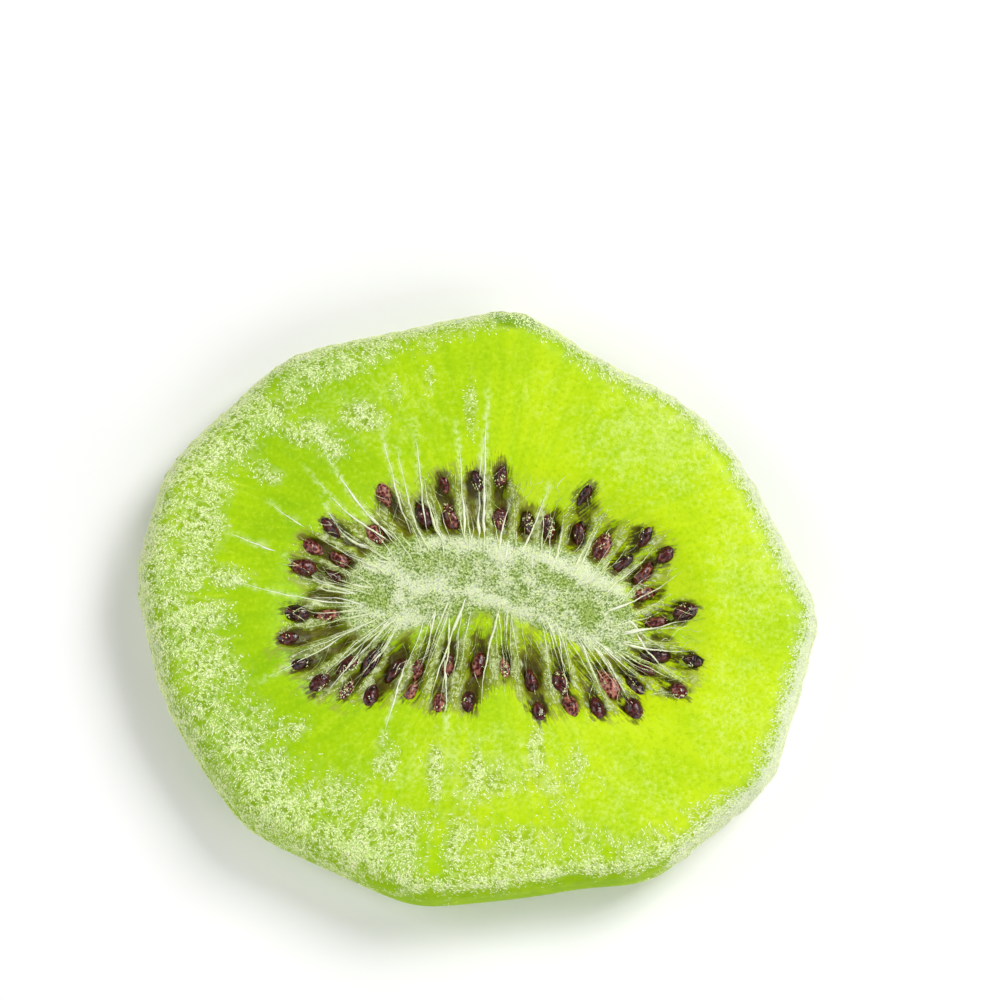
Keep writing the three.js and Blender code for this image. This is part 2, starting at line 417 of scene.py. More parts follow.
def near_seed(name, xy):
    """1 under a seed, falling to 0 about a seed's width away from it, mostly on its inner side."""
    nearest = np.full(len(xy), 9.0)
    for seed in SEEDS[name]:
        away = xy - seed["middle"][:2] + SHADE_SHIFT * seed["outward"]
        cos, sin = math.cos(seed["heading"]), math.sin(seed["heading"])
        along = (away[:, 0] * cos + away[:, 1] * sin) / (SEED["length"] / 2 * seed["size"])
        aside = (away[:, 1] * cos - away[:, 0] * sin) / (SEED["width"] / 2 * seed["size"])
        nearest = np.minimum(nearest, np.hypot(along, aside))
    return 1 - ease(*SHADE_FADES, nearest)


print(len(SEEDS["shown"]), "seeds shown,", len(SEEDS["back"]), "on the back")

# %% [markdown]
# The pockets end in a ragged point a little beyond their outermost seed, and no two are equally
# wide. Empty ones are short. Their shape in the plan is wobbled, so that none has a straight side.

# %% Pocket shapes
EMPTY_POCKET = 2.0  # a pocket without a seed ends as if one lay here, in mm
BEYOND_SEED = (0.7, 1.1)  # mm from the outermost seed to the pocket's end: at least, and more at most
# Of a whole pocket: the least, and how much more at most.
POCKET_WIDTH = (0.66, 0.34)
POCKET_STRENGTH = (0.7, 0.3)
draw = drawer(RANDOM_SEED + 2)
for name, face in FACES.items():
    ends = np.full(POCKETS, EMPTY_POCKET)
    for seed in SEEDS[name]:
        ends[seed["pocket"]] = max(ends[seed["pocket"]], seed["reach"])
    for key, (least, more), start in (
        ("lengths", BEYOND_SEED, ends),
        ("widths", POCKET_WIDTH, np.zeros(POCKETS)),
        ("strengths", POCKET_STRENGTH, np.zeros(POCKETS)),
    ):
        face[key] = np.array([at + least + more * next(draw) for at in start])
pocket_middles = (walls[:-1] + walls[1:]) / 2


def zone_end(name, turn):
    """How far out the zone of pockets reaches at a turn, passing smoothly from pocket to pocket."""
    return np.interp(turn, pocket_middles, FACES[name]["lengths"], period=TAU)


def in_pocket(name, turn, reach, xy):
    """How deep in a pocket a point is, from 0 on a wall or outside to 1 in a pocket's middle."""
    face = FACES[name]
    pocket, across = pocket_of(turn + 0.022 * wobble(xy, 2.3, 1.0))
    out = (reach + 0.3 * wobble(xy, 1.7, 2.0)) / face["lengths"][pocket]
    width = face["widths"][pocket] * (1 - 0.6 * ease(0.4, 1.05, out))
    lateral = 1 - ease(0.3, 1.05, np.abs(across) / width)
    return lateral * ease(0.0, 0.2, out) * (1 - ease(0.7, 1.02, out)) * face["strengths"][pocket]


print("the longest shown pocket reaches", round(float(FACES["shown"]["lengths"].max()), 1), "mm out")

# %% [markdown]
# ## Where the sugar lies
#
# Sugar crystals grew in a band along the rim that is broad on the left and the bottom and narrow and
# dense on the right, with loose patches inwards of it. A few listed sizes describe this: how broad
# and dense the band and how thick the crust is at some turns, and the place and size of each patch.
# Their ragged edges are not drawn: noise in the materials and in the sugar's tree breaks them up.

# %% Sugar map
# Turn in degrees, breadth of the band in mm, its amount of sugar from 0 to 1, and the share of the
# crust on the edge there.
SUGAR_BAND = [
    (0, 3.2, 0.46, 1.0),
    (30, 3.2, 0.44, 1.0),
    (55, 3.2, 0.52, 0.9),
    (76, 2.8, 0.5, 0.8),
    (90, 3.4, 0.5, 0.7),
    (105, 3.8, 0.52, 0.62),
    (120, 5.0, 0.58, 0.6),
    (140, 6.4, 0.62, 0.6),
    (163, 8.4, 0.66, 0.55),
    (185, 9.0, 0.66, 0.55),
    (205, 8.8, 0.62, 0.4),
    (226, 9.0, 0.64, 0.2),
    (245, 9.2, 0.62, 0.15),
    (265, 9.6, 0.54, 0.15),
    (284, 8.6, 0.5, 0.3),
    (300, 6.0, 0.46, 0.7),
    (322, 3.2, 0.46, 0.9),
    (342, 2.8, 0.48, 1.0),
]
# x, y, half length, half breadth and amount of each loose patch.
SUGAR_PATCHES = [
    (-8.8, 13.6, 2.9, 1.4, 0.68),
    (-12.6, 12.6, 2.4, 1.4, 0.74),
    (-10.6, 11.4, 1.6, 1.3, 0.68),
    (-6.0, 15.6, 0.7, 2.0, 0.54),
    (-3.6, 16.4, 0.7, 1.5, 0.5),
    (-18.4, 2.0, 2.6, 1.2, 0.72),
    (-15.5, 9.5, 1.8, 1.6, 0.56),
    (-13.6, -9.6, 2.2, 1.7, 0.52),
    (-3.0, -12.8, 0.9, 2.4, 0.8),
    (0.2, -12.6, 0.7, 2.2, 0.7),
    (4.4, -11.2, 0.9, 2.8, 0.66),
    (7.4, -12.4, 0.9, 2.4, 0.66),
    (-6.6, -11.6, 1.2, 2.0, 0.72),
    (1.5, -13.5, 9.5, 3.0, 0.46),
    (-0.4, 14.6, 0.7, 4.0, 0.46),
]
# A milky haze, too fine for single crystals, lies on the right and between the patches.
HAZE_PATCHES = [
    (13.5, 12.0, 6.5, 5.0, 0.5),
    (20.5, 3.0, 4.5, 8.0, 0.42),
    (19.0, -8.0, 4.0, 7.0, 0.34),
    (11.0, -14.5, 7.0, 4.5, 0.3),
    (0.0, -12.0, 11.0, 3.6, 0.4),
    (-8.0, 14.0, 8.0, 5.0, 0.3),
    (5.0, 15.5, 4.0, 4.0, 0.2),
]
# A whiter line runs along the lower edge of the face.
EDGE_LINE_INSET = 1.1
EDGE_LINE_BREADTH = 0.4
EDGE_LINE_AMOUNT = 0.42
# A crust grew on the very edge, where the amount of sugar passes 1.
CRUST_AMOUNT = 1.05
CRUST_BREADTH = 1.15
SIDE_SHARE = 0.8  # how much sugar the upright rim has beside the face's edge
# The lower side was pressed smooth. Sugar lies above it along the face's edge, and little on it.
SMOOTH_SIDE = (math.radians(279), math.radians(27))
SMOOTH_EDGE = (0.5, 1.5)  # mm inwards of the outline, over which the sugar starts there
SMOOTH_RAGGED = 0.12  # radians that its two ends run to and fro
SMOOTH_SCATTER = 0.26  # the little sugar that is on it
RIM_RADIUS = 22.0  # about the outline's, to turn radians into mm along the rim
print(len(SUGAR_BAND), "turns of the band,", len(SUGAR_PATCHES), "patches,", len(HAZE_PATCHES), "of haze")

# %% [markdown]
# The sugar could be painted by hand with a brush, but a few functions of the place keep it in one
# rule for the mesh, the materials and the crystals. The band fades inwards, the crust is added on the
# very edge, and the smooth lower side takes nearly all of it away again.

# %% How much sugar lies at a place
def sugar_band(turn):
    """The band's breadth, its amount of sugar and its share of the crust at each turn."""
    degrees, *sizes = np.array(SUGAR_BAND).T
    return [np.interp(np.degrees(turn) % 360, degrees, size, period=360) for size in sizes]


def smooth_side(turn, level):
    """1 on the smooth side, falling to 0 raggedly at its two ends. level is a point's height."""
    along_rim = np.stack([RIM_RADIUS * turn, np.broadcast_to(level, turn.shape)], -1)
    turn = turn + SMOOTH_RAGGED * wobble(along_rim, 3.7, 8.0)
    away = np.arctan2(np.sin(turn - SMOOTH_SIDE[0]), np.cos(turn - SMOOTH_SIDE[0]))
    return 1 - ease(0.6, 1.2, np.abs(away) / SMOOTH_SIDE[1])


def patches_at(xy, patches):
    """The strongest of some patches at each point."""
    amount = np.zeros(len(xy))
    for x, y, half_length, half_breadth, most in patches:
        away = ((xy[:, 0] - x) / half_length) ** 2 + ((xy[:, 1] - y) / half_breadth) ** 2
        amount = np.maximum(amount, most * np.exp(-(away**1.2)))
    return amount


def sugar_amount(turn, xy, from_rim, on_side=0.0, level=THICKNESS):
    """How much sugar lies at a point that is from_rim mm inwards of the outline.

    on_side is 0 on a cut face and 1 on the upright rim, and level is the point's height.
    """
    breadth, density, crust = sugar_band(turn)
    amount = np.maximum(density * (1 - ease(0.4, 1.1, from_rim / breadth)), patches_at(xy, SUGAR_PATCHES))
    amount = amount * (1 - on_side * (1 - SIDE_SHARE))
    amount = amount + CRUST_AMOUNT * crust * (1 - ease(0.2, 1.3, from_rim / CRUST_BREADTH))
    smooth = smooth_side(turn, level)
    line = EDGE_LINE_AMOUNT * np.exp(-np.square((from_rim - EDGE_LINE_INSET) / EDGE_LINE_BREADTH))
    left_over = (1 - smooth * (1 - ease(*SMOOTH_EDGE, from_rim))) ** (1 + on_side)
    return amount * left_over + (line + SMOOTH_SCATTER * on_side) * smooth


# %% [markdown]
# Some lines on the core are whiter than the rest: its upper right edge and two low ridges. Each is
# a line between two places with a breadth, and points near it are whiter.

# %% White lines of the core
# Start and end in mm, half breadth and strength.
WHITE_LINES = [
    ((-5.0, 4.2), (-1.0, 4.5), 0.5, 0.5),
    ((-1.0, 4.5), (5.8, 2.8), 0.55, 0.9),
    ((5.8, 2.8), (10.3, 1.0), 0.6, 1.0),
    ((-4.6, 1.2), (0.1, 0.4), 0.55, 0.9),
    ((0.1, 0.4), (3.9, -1.1), 0.5, 0.85),
    ((-5.7, 2.0), (-5.7, 0.3), 0.25, 0.8),
    ((-8.6, 2.6), (-5.7, 2.2), 0.4, 0.5),
    ((3.9, -1.1), (8.4, -3.0), 0.4, 0.5),
    ((-8.0, -0.8), (-3.0, -1.6), 0.5, 0.4),
]


def white_lines(xy):
    """How white each point of the plan is by the lines."""
    white = np.zeros(len(xy))
    for start, end, breadth, strength in WHITE_LINES:
        start, end = np.array(start) - MIDDLE, np.array(end) - MIDDLE
        run = end - start
        share = np.clip((xy - start) @ run / (run @ run), 0, 1)
        away = np.linalg.norm(xy - start - share[:, None] * run, axis=1)
        away = away + 0.25 * wobble(xy, 2.1, 4.0)
        white = np.maximum(white, strength * np.exp(-np.square(away / breadth)))
    return white


# %% [markdown]
# Some strands run far out over the flesh, and a thin white streak lies along each. The strands are
# laid much further down, on the finished fruit. Their places are listed here already, because the
# streaks are one of the facts that the fruit's mesh keeps.

# %% Long strands
# Start, end, bow and half thickness in mm, and how many times broader the root is.
LONG_STRANDS = [
    ((-5.6, 4.3), (-11.7, 12.1), 0.7, 0.13, 1.6),
    ((-7.8, 3.8), (-11.4, 7.6), 0.6, 0.14, 1.6),
    ((-6.2, 4.4), (-12.6, 9.8), 0.5, 0.09, 1.2),
    ((-4.9, 5.0), (-7.2, 13.5), 0.2, 0.11, 1.4),
    ((-4.3, 5.0), (-6.0, 11.6), 0.1, 0.08, 1.4),
    ((-3.7, 5.2), (-4.7, 13.5), 0.1, 0.10, 1.4),
    ((-0.9, 4.3), (-1.6, 13.0), -0.1, 0.12, 1.6),
    ((0.5, 4.3), (0.8, 15.4), 0.1, 0.14, 2.4),
    ((0.1, 4.3), (0.4, 12.2), 0.1, 0.12, 2.2),
    ((3.2, 3.6), (5.3, 8.6), -0.1, 0.12, 1.8),
    ((1.6, 4.0), (2.6, 8.0), 0.1, 0.13, 2.0),
    ((9.5, -4.1), (12.1, -8.5), -0.2, 0.11, 1.4),
    ((11.5, -2.0), (15.2, -5.9), -0.4, 0.12, 1.5),
    ((10.9, -1.2), (14.2, -3.6), -0.2, 0.11, 1.5),
    ((-2.4, -3.4), (-2.2, -9.8), 0.0, 0.12, 1.4),
    ((-5.2, -4.0), (-7.2, -10.9), 0.1, 0.10, 1.4),
    ((-8.6, -0.2), (-19.5, 1.8), 0.3, 0.09, 1.4),
    ((-8.9, 0.6), (-14.2, 3.4), 0.3, 0.12, 1.6),
    ((-14.6, 3.6), (-18.7, 5.3), 0.1, 0.10, 1.0),
    ((-12.6, 5.4), (-15.5, 7.4), 0.1, 0.08, 1.0),
    ((-9.4, -2.2), (-16.0, -6.0), 0.1, 0.08, 1.2),
    ((-8.2, -2.8), (-11.8, -7.4), 0.2, 0.09, 1.2),
]
STREAK_BREADTH = 0.17
STREAK_ROOT = 0.2  # how much broader it is at the end by the core


def strand_streaks(xy):
    """1 on the line of a long strand, falling to 0 a little way beside it."""
    streak = np.zeros(len(xy))
    for start, end, bow, thick, _ in LONG_STRANDS:
        start, end = np.array(start) - MIDDLE, np.array(end) - MIDDLE
        run = end - start
        length = np.linalg.norm(run)
        share = (xy - start) @ run / length**2
        aside = (xy - start) @ np.array([-run[1], run[0]]) / length
        aside = aside - bow * np.sin(math.pi * np.clip(share, 0, 1)) + 0.12 * wobble(xy, 1.3, 6.0)
        along = ease(0.1, 0.35, share) * (1 - ease(0.9, 1.1, share)) * (thick / 0.15)
        breadth = STREAK_BREADTH + STREAK_ROOT * (1 - ease(0.1, 0.6, share))
        streak = np.maximum(streak, along * np.exp(-np.square(aside / breadth)))
    return streak


# %% [markdown]
# ## The fruit's mesh
#
# The mesh is a stack of rings, from the heart of the shown face out to the rim, round it, and back
# to the heart of the back face. It could be sculpted from a remeshed block, but rings that follow
# the turn and the reach put their points where the shape needs them: many across each pocket and
# few on the plain flesh. Each ring keeps facts that the materials and the node trees read: how much
# sugar and haze lie there, whether it is core, how deep in a pocket it is, how near to a seed, and
# whether it is on a wall, a white line, a long strand's streak or the rim.

# %% Facts of a ring
COLUMNS_IN_A_POCKET = 16
COLUMNS = POCKETS * COLUMNS_IN_A_POCKET
columns = np.linspace(0, TAU, COLUMNS, endpoint=False)
spoke_length = spoke(columns)[2]

FACTS = ("sugar", "haze", "streak", "core", "pocket", "wall", "zone", "shade", "white", "rim")
facts = {name: [] for name in FACTS}
rings = []
heart_xy = core_point(np.zeros(1), np.zeros(1))[0]
CLEARNESS = 0.5  # how much of the pockets' shade is missing where clear flesh shows below the core
RIGHT_CLEARNESS = 0.36  # the same at the right end


def keep_ring(points, **known):
    """Adds a ring and its facts. A fact that isn't given is 0 on it."""
    rings.append(points)
    for name, rows in facts.items():
        rows.append(np.broadcast_to(known.get(name, 0.0), COLUMNS))


def core_amount(beyond):
    """1 on the core, fading over its edge. beyond is how far outside the edge a point lies."""
    _, across = pocket_of(columns)
    lower = np.clip(-np.sin(columns), 0, 1) ** 2
    outwards = 0.5 + 1.1 * ease(0.55, 1.0, np.abs(across)) + 0.5 * np.clip(-np.cos(columns), 0, 1)
    return 1 - ease(-0.2 - 1.5 * lower, outwards, beyond)


def clear_amount(beyond):
    """1 where clear lime flesh shows between the core's lower edge and the pockets below it."""
    lower = ease(0.5, 0.88, lower_side(columns))
    return lower * ease(-1.7, -0.4, beyond) * (1 - ease(0.9, 2.3, beyond))


print("each ring keeps", ", ".join(FACTS))

# %% [markdown]
# Two kinds of ring make a cut face. Rings on the core are smaller and smaller copies of its bean
# shape, because the real core is smooth and gently domed. Rings on the flesh lie further and further
# out and dip into every pocket that they cross.

# %% Rings of the core and the flesh
def core_ring(name, share):
    """A ring on the core: share 0 is its heart and share 1 its edge."""
    xy = core_point(columns, np.full(COLUMNS, share))
    face = FACES[name]
    inwards = np.full(COLUMNS, face["core"] - face["dome"] * (1 - share**2))
    beyond = (share - 1) * np.linalg.norm(core_point(columns, np.ones(COLUMNS)) - heart_xy, axis=1)
    keep_ring(
        placed(name, xy, inwards),
        core=core_amount(beyond),
        zone=1 - CLEARNESS * clear_amount(beyond),
        white=white_lines(xy) if name == "shown" else 0.0,
    )


def flesh_ring(name, reach):
    """A ring outside the core, reach mm out from its edge. reach may differ from turn to turn."""
    face = FACES[name]
    xy = plan_point(columns, reach)
    _, across = pocket_of(columns)
    deep = in_pocket(name, columns, reach, xy)
    end = zone_end(name, columns)
    shade = near_seed(name, xy)
    near_wall = ease(0.42, 0.92, np.abs(across + 0.15 * wobble(xy, 1.9, 7.0)))
    ridge = near_wall * (1 - ease(0.45, 1.1, reach / end)) * (0.75 + 0.25 * wobble(xy, 4.3, 3.0))
    clear = np.maximum(CLEARNESS * clear_amount(reach), RIGHT_CLEARNESS * ease(0, 14, xy[:, 0]))
    inwards = relief(name, columns, reach, deep) + 0.1 * shade
    keep_ring(
        placed(name, xy, inwards),
        sugar=sugar_amount(columns, xy, spoke_length - reach) * face["sugared"],
        haze=patches_at(xy, HAZE_PATCHES) * face["sugared"],
        streak=strand_streaks(xy) if name == "shown" else 0.0,
        core=core_amount(reach),
        pocket=deep * (1 - clear),
        wall=ridge * (1 - 0.5 * clear),
        zone=(1 - clear) * (1 - ease(0.66, 1.12, (reach + 0.4 * wobble(xy, 3.1, 5.0)) / end)),
        shade=shade,
        white=white_lines(xy) if name == "shown" else 0.0,
    )


# %% [markdown]
# A dried slice has no sharp edge. A Bevel modifier would round both faces alike, but here the shown
# face turns over more broadly than the back one, and the rim between them bulges a little. So rings
# are placed by the angle they have turned over, and the facts go on round the edge with them.

# %% Rings of the edge and the rim
def edge_ring(name, angle):
    """A ring of a rounded edge: angle 0 is the face and a quarter turn is the upright rim."""
    face = FACES[name]
    inset = RIM_BULGE + face["across"] * (1 - math.sin(angle))
    xy = plan_point(columns, spoke_length - inset)
    inwards = np.full(COLUMNS, face["down"] * (1 - math.cos(angle)))
    rim = ease(0.1, 1.1, angle)
    points = placed(name, xy, inwards)
    sugar = sugar_amount(columns, xy, inset, rim, points[:, 2])
    sugar = sugar * (face["sugared"] + (1 - face["sugared"]) * rim)
    haze = patches_at(xy, HAZE_PATCHES) * face["sugared"] * (1 - rim)
    keep_ring(points, sugar=sugar, haze=haze, rim=rim)


def side_ring(share):
    """A ring of the upright rim: share 0 is its upper edge and share 1 its lower one."""
    upper = placed("shown", plan_point(columns, spoke_length), np.full(COLUMNS, FACES["shown"]["down"]))
    height = upper[:, 2] + (FACES["back"]["down"] - upper[:, 2]) * share
    reach = spoke_length - RIM_BULGE * (2 * share - 1) ** 2
    xy = plan_point(columns, reach)
    points = np.concatenate([xy, height[:, None]], 1)
    keep_ring(points, sugar=sugar_amount(columns, xy, np.zeros(COLUMNS), 1.0, height), rim=1.0)


# %% [markdown]
# Now the rings are stacked in order. They could all be equally far apart, but they are worth most
# where the pockets are, so they lie close together there and further apart on the plain flesh. The
# shown face gets about twice as many as the back.

# %% Stack the rings
ZONE_MARGIN = 0.8  # the close rings go on this many mm beyond the pockets' zone
FIRST_CORE_RING = 0.05
SIDE_RINGS = 4


def half_of_the_rings(name, core_rings, zone_rings, plain_rings, edge_rings):
    """The makers of a face's rings, from its heart to the top of the upright rim."""
    face = FACES[name]
    end = spoke_length - RIM_BULGE - face["across"]
    makers = [lambda s=s: core_ring(name, s) for s in np.linspace(FIRST_CORE_RING, 1, core_rings)]
    zone_end_reach = ZONE_REACH + ZONE_MARGIN + LOWER_ROWS_FURTHER * lower_side(columns)
    for share in np.linspace(0, 1, zone_rings + 1)[1:]:
        makers.append(lambda s=share: flesh_ring(name, zone_end_reach * s))
    for share in np.linspace(0, 1, plain_rings + 1)[1:]:
        makers.append(lambda s=share: flesh_ring(name, zone_end_reach * (1 - s) + end * s))
    for angle in np.linspace(0, math.pi / 2, edge_rings + 1)[1:]:
        makers.append(lambda a=angle: edge_ring(name, a))
    return makers


for make in half_of_the_rings("shown", core_rings=20, zone_rings=50, plain_rings=24, edge_rings=8):
    make()
for share in np.linspace(0, 1, SIDE_RINGS + 2)[1:-1]:
    side_ring(share)
for make in reversed(half_of_the_rings("back", core_rings=10, zone_rings=24, plain_rings=12, edge_rings=6)):
    make()
print(f"{len(rings)} rings of {COLUMNS} points")

# %% [markdown]
# Quads join each ring to the next, and a fan of triangles closes each heart, so the fruit is one
# closed skin with its faces outwards. The facts are stored on its points as attributes, which both a
# material and a Geometry Nodes tree can read.

# %% Join the rings into one closed mesh
def mesh_from_rings(name, rings, ends):
    """A closed mesh: quads between the rings, and a fan of triangles round each end point."""
    count, around = len(rings), len(rings[0])
    points = np.concatenate([np.concatenate(rings), ends]) * MM
    first = np.arange(around)
    after = np.roll(first, -1)
    quads = []
    for ring in range(count - 1):
        here, there = ring * around, (ring + 1) * around
        quads += np.stack([here + first, there + first, there + after, here + after], 1).tolist()
    top, bottom = count * around, count * around + 1
    last = (count - 1) * around
    fans = np.stack([np.full(around, top), first, after], 1).tolist()
    fans += np.stack([np.full(around, bottom), last + after, last + first], 1).tolist()
    mesh = bpy.data.meshes.new(name)
    mesh.from_pydata(points.tolist(), [], quads + fans)
    mesh.validate()
    return mesh


hearts = []
for name in ("shown", "back"):
    heart_inwards = np.array([FACES[name]["core"] - FACES[name]["dome"]])
    hearts.append(placed(name, core_point(np.zeros(1), np.zeros(1)), heart_inwards))

fruit_mesh = mesh_from_rings("kiwi_fruit", rings, np.concatenate(hearts))


def add_fact(mesh, name, values):
    """Stores a number or a vector for each point of a mesh."""
    kind = "FLOAT_VECTOR" if np.ndim(values) == 2 else "FLOAT"
    attribute = mesh.attributes.new(name, kind, "POINT")
    attribute.data.foreach_set("vector" if kind == "FLOAT_VECTOR" else "value", np.ravel(values))


def add_object(name, data):
    """A new object in the scene for a mesh, a lamp or a camera."""
    made = bpy.data.objects.new(name, data)
    bpy.context.scene.collection.objects.link(made)
    return made


for name, rows in facts.items():
    at_hearts = [1.0, 1.0] if name in ("core", "zone") else [0.0, 0.0]
    add_fact(fruit_mesh, name, np.concatenate([np.concatenate(rows), at_hearts]))

# The grain runs outwards: its noise changes fast round the slice and slowly along a spoke.
GRAIN_ROUND = 10
GRAIN_ALONG = 0.1
all_points = np.concatenate([np.concatenate(rings), np.concatenate(hearts)])
offset = all_points[:, :2] - heart_xy
distance = np.linalg.norm(offset, axis=1)
around = offset / np.maximum(distance, 0.001)[:, None] * GRAIN_ROUND
add_fact(fruit_mesh, "grain", np.column_stack([around, distance * GRAIN_ALONG]))
fruit_mesh.polygons.foreach_set("use_smooth", [True] * len(fruit_mesh.polygons))
fruit = add_object("kiwi_fruit", fruit_mesh)
print(f"fruit mesh: {len(fruit_mesh.vertices)} points, {len(fruit_mesh.polygons)} faces")

# %% [markdown]
# ## Running a Geometry Nodes tree
#
# Each tree below gets named inputs for its sizes. A modifier runs it on an object, and the result is
# copied into a plain mesh, because an exported model can't hold a live tree. The inputs are set by
# each socket's identifier, since two sockets may share a name.

# %% Helpers for Geometry Nodes
def new_tree(name, sizes):
    """An empty tree with a Geometry input and output and one input for each named size."""
    tree = bpy.data.node_groups.new(name, "GeometryNodeTree")
    tree.interface.new_socket("Geometry", in_out="INPUT", socket_type="NodeSocketGeometry")
    tree.interface.new_socket("Geometry", in_out="OUTPUT", socket_type="NodeSocketGeometry")
    for size, value in sizes.items():
        kind = "NodeSocketInt" if isinstance(value, int) else "NodeSocketFloat"
        tree.interface.new_socket(size, in_out="INPUT", socket_type=kind)
    return tree, tree.nodes.new("NodeGroupInput").outputs


def end_tree(tree, geometry, material):
    """Ends a tree: instances become real, and everything gets the material."""
    real = add_node(tree, "GeometryNodeRealizeInstances", {"Geometry": geometry}).outputs[0]
    inputs = {"Geometry": real, "Material": material}
    painted = add_node(tree, "GeometryNodeSetMaterial", inputs).outputs[0]
    add_node(tree, "NodeGroupOutput", {0: painted})


def fact(tree, name, kind="FLOAT"):
    """A fact that the geometry carries, for use in a tree."""
    return add_node(tree, "GeometryNodeInputNamedAttribute", {"Name": name}, data_type=kind).outputs[0]


def position(tree):
    """Where each point of the geometry is."""
    return add_node(tree, "GeometryNodeInputPosition").outputs[0]


def moved_outwards(tree, geometry, move):
    """Moves each point along its own normal."""
    normal = add_node(tree, "GeometryNodeInputNormal").outputs[0]
    inputs = {"Geometry": geometry, "Offset": scaled(tree, normal, move)}
    return add_node(tree, "GeometryNodeSetPosition", inputs).outputs[0]


def random_between(tree, low, high, seed):
    """A random value for each point or instance."""
    made = add_node(tree, "FunctionNodeRandomValue", {2: low, 3: high, "Seed": seed}, data_type="FLOAT")
    return made.outputs[1]


def run_tree(source, tree, sizes, name):
    """Runs the tree on the source object and returns the result as a new plain object."""
    modifier = source.modifiers.new(tree.name, "NODES")
    modifier.node_group = tree
    for item in tree.interface.items_tree:
        if item.in_out == "INPUT" and item.name in sizes:
            modifier[item.identifier] = sizes[item.name]
    depsgraph = bpy.context.evaluated_depsgraph_get()
    mesh = bpy.data.meshes.new_from_object(source.evaluated_get(depsgraph), depsgraph=depsgraph)
    source.modifiers.remove(modifier)
    mesh.name = name
    made = add_object(name, mesh)
    mesh.calc_loop_triangles()
    print(f"{name}: {len(mesh.loop_triangles)} triangles")
    return made


# %% [markdown]
# A material is a tree as well. Each starts with a surface shader, and with the place on the piece in
# the piece's own coordinates, so that a pattern made from it stays on the piece wherever that goes.

# %% Helpers for materials
def new_material(name):
    """A material, its tree, its surface shader, and the place on the piece."""
    material = bpy.data.materials.new(name)
    material.use_nodes = True
    tree = material.node_tree
    tree.nodes.clear()
    shader = tree.nodes.new("ShaderNodeBsdfPrincipled")
    add_node(tree, "ShaderNodeOutputMaterial", {"Surface": shader.outputs[0]})
    place = add_node(tree, "ShaderNodeTexCoord").outputs["Object"]
    return material, tree, shader, place


def kept(tree, name):
    """A fact of the mesh in a material."""
    made = add_node(tree, "ShaderNodeAttribute", attribute_name=name, attribute_type="GEOMETRY")
    return made.outputs["Fac"]


def bumped(tree, strength, depth, height):
    """The normal of a surface that seems to rise and fall by up to depth mm, as height does."""
    inputs = {"Strength": strength, "Distance": depth * MM, "Height": height}
    return add_node(tree, "ShaderNodeBump", inputs).outputs["Normal"]


# %% [markdown]
# ## The finish of the fruit
#
# One material covers the fruit, because flesh, core and pockets are grown together and fade into
# each other. It reads the facts kept in the mesh and lays one finish over another: lime flesh with a
# faint grain, olive shade in the pockets, pale walls, the sage core, the green rim, and fine sugar.
# Light goes some way into candied fruit before it comes out, which subsurface scattering gives.

# %% Noise that the material and the sugar share
def times(tree, *values):
    """The product of all the values."""
    product = values[0]
    for value in values[1:]:
        product = maths(tree, "MULTIPLY", product, value)
    return product


def plus(tree, *values):
    """The sum of all the values."""
    total = values[0]
    for value in values[1:]:
        total = maths(tree, "ADD", total, value)
    return total


def fine_threads(tree, where, breadth):
    """1 on a web of fine threads, falling to 0 beside them. More breadth makes them broader."""
    off_thread = maths(tree, "ABSOLUTE", plus(tree, noise(tree, where, 1700, detail=2, shift=15), -0.5))
    return spread(tree, off_thread, 0.01, breadth, 1.0, 0.0)


def core_speckle(tree, where):
    """The core's finest pattern: light and dark specks about a sixth of a millimetre apart."""
    return noise(tree, where, 6400, detail=2, roughness=0.6, shift=6)


def core_white(tree, where, white_line):
    """How white a place of the core is: patches a few mm across, and the lines, broken into specks."""
    patches = noise(tree, where, 340, detail=5, roughness=0.7, shift=7)
    specks = core_speckle(tree, where)
    whiteness = plus(tree, times(tree, patches, 1.5), specks, times(tree, white_line, 0.34))
    return spread(tree, whiteness, 1.1, 1.62)


def sugar_lumps(tree, where, grain):
    """Clumps a few mm across, drawn out along the fruit's grain."""
    round_lumps = noise(tree, where, 430, detail=4, roughness=0.62, shift=13)
    drawn_out = noise(tree, grain, 2.4, detail=3, shift=14)
    return plus(tree, times(tree, round_lumps, 0.65), times(tree, drawn_out, 0.45), -0.05)


def sugar_clumps(tree, where, grain, amount):
    """1 inside a clump of crystals, 0 between the clumps."""
    lumps = sugar_lumps(tree, where, grain)
    clump = spread(tree, plus(tree, amount, times(tree, plus(tree, lumps, -0.5), 2.4)), 0.14, 0.95)
    return times(tree, clump, spread(tree, amount, 0.15, 0.55))


def sugar_web(tree, where, grain, amount):
    """How much of a place is under crystals: clumps, each a web of fine threads."""
    web = plus(tree, times(tree, fine_threads(tree, where, 0.14), 0.95), 0.05)
    solid = spread(tree, plus(tree, amount, sugar_lumps(tree, where, grain)), 1.5, 1.9)
    return maths(tree, "MAXIMUM", times(tree, sugar_clumps(tree, where, grain, amount), web), solid)


# %% [markdown]
# The flesh is lime green. It is painted deeper on the left and brighter on the right, which is
# painted light for the light that falls on it and comes through it from the right. One flat colour
# would look like plastic. Noise that follows the grain draws it out into streaks from the core to the
# rim, and plain noise adds clouds and a fine mottle, as light does in real flesh.

# %% Flesh
fruit_material, tree, shader, place = new_material("candied_kiwi")

FLESH_DEEP = rgb(146, 198, 0)
FLESH_MIDDLE = rgb(182, 224, 0)
FLESH_BRIGHT = rgb(212, 242, 10)
FLESH_STREAK = rgb(216, 242, 62)

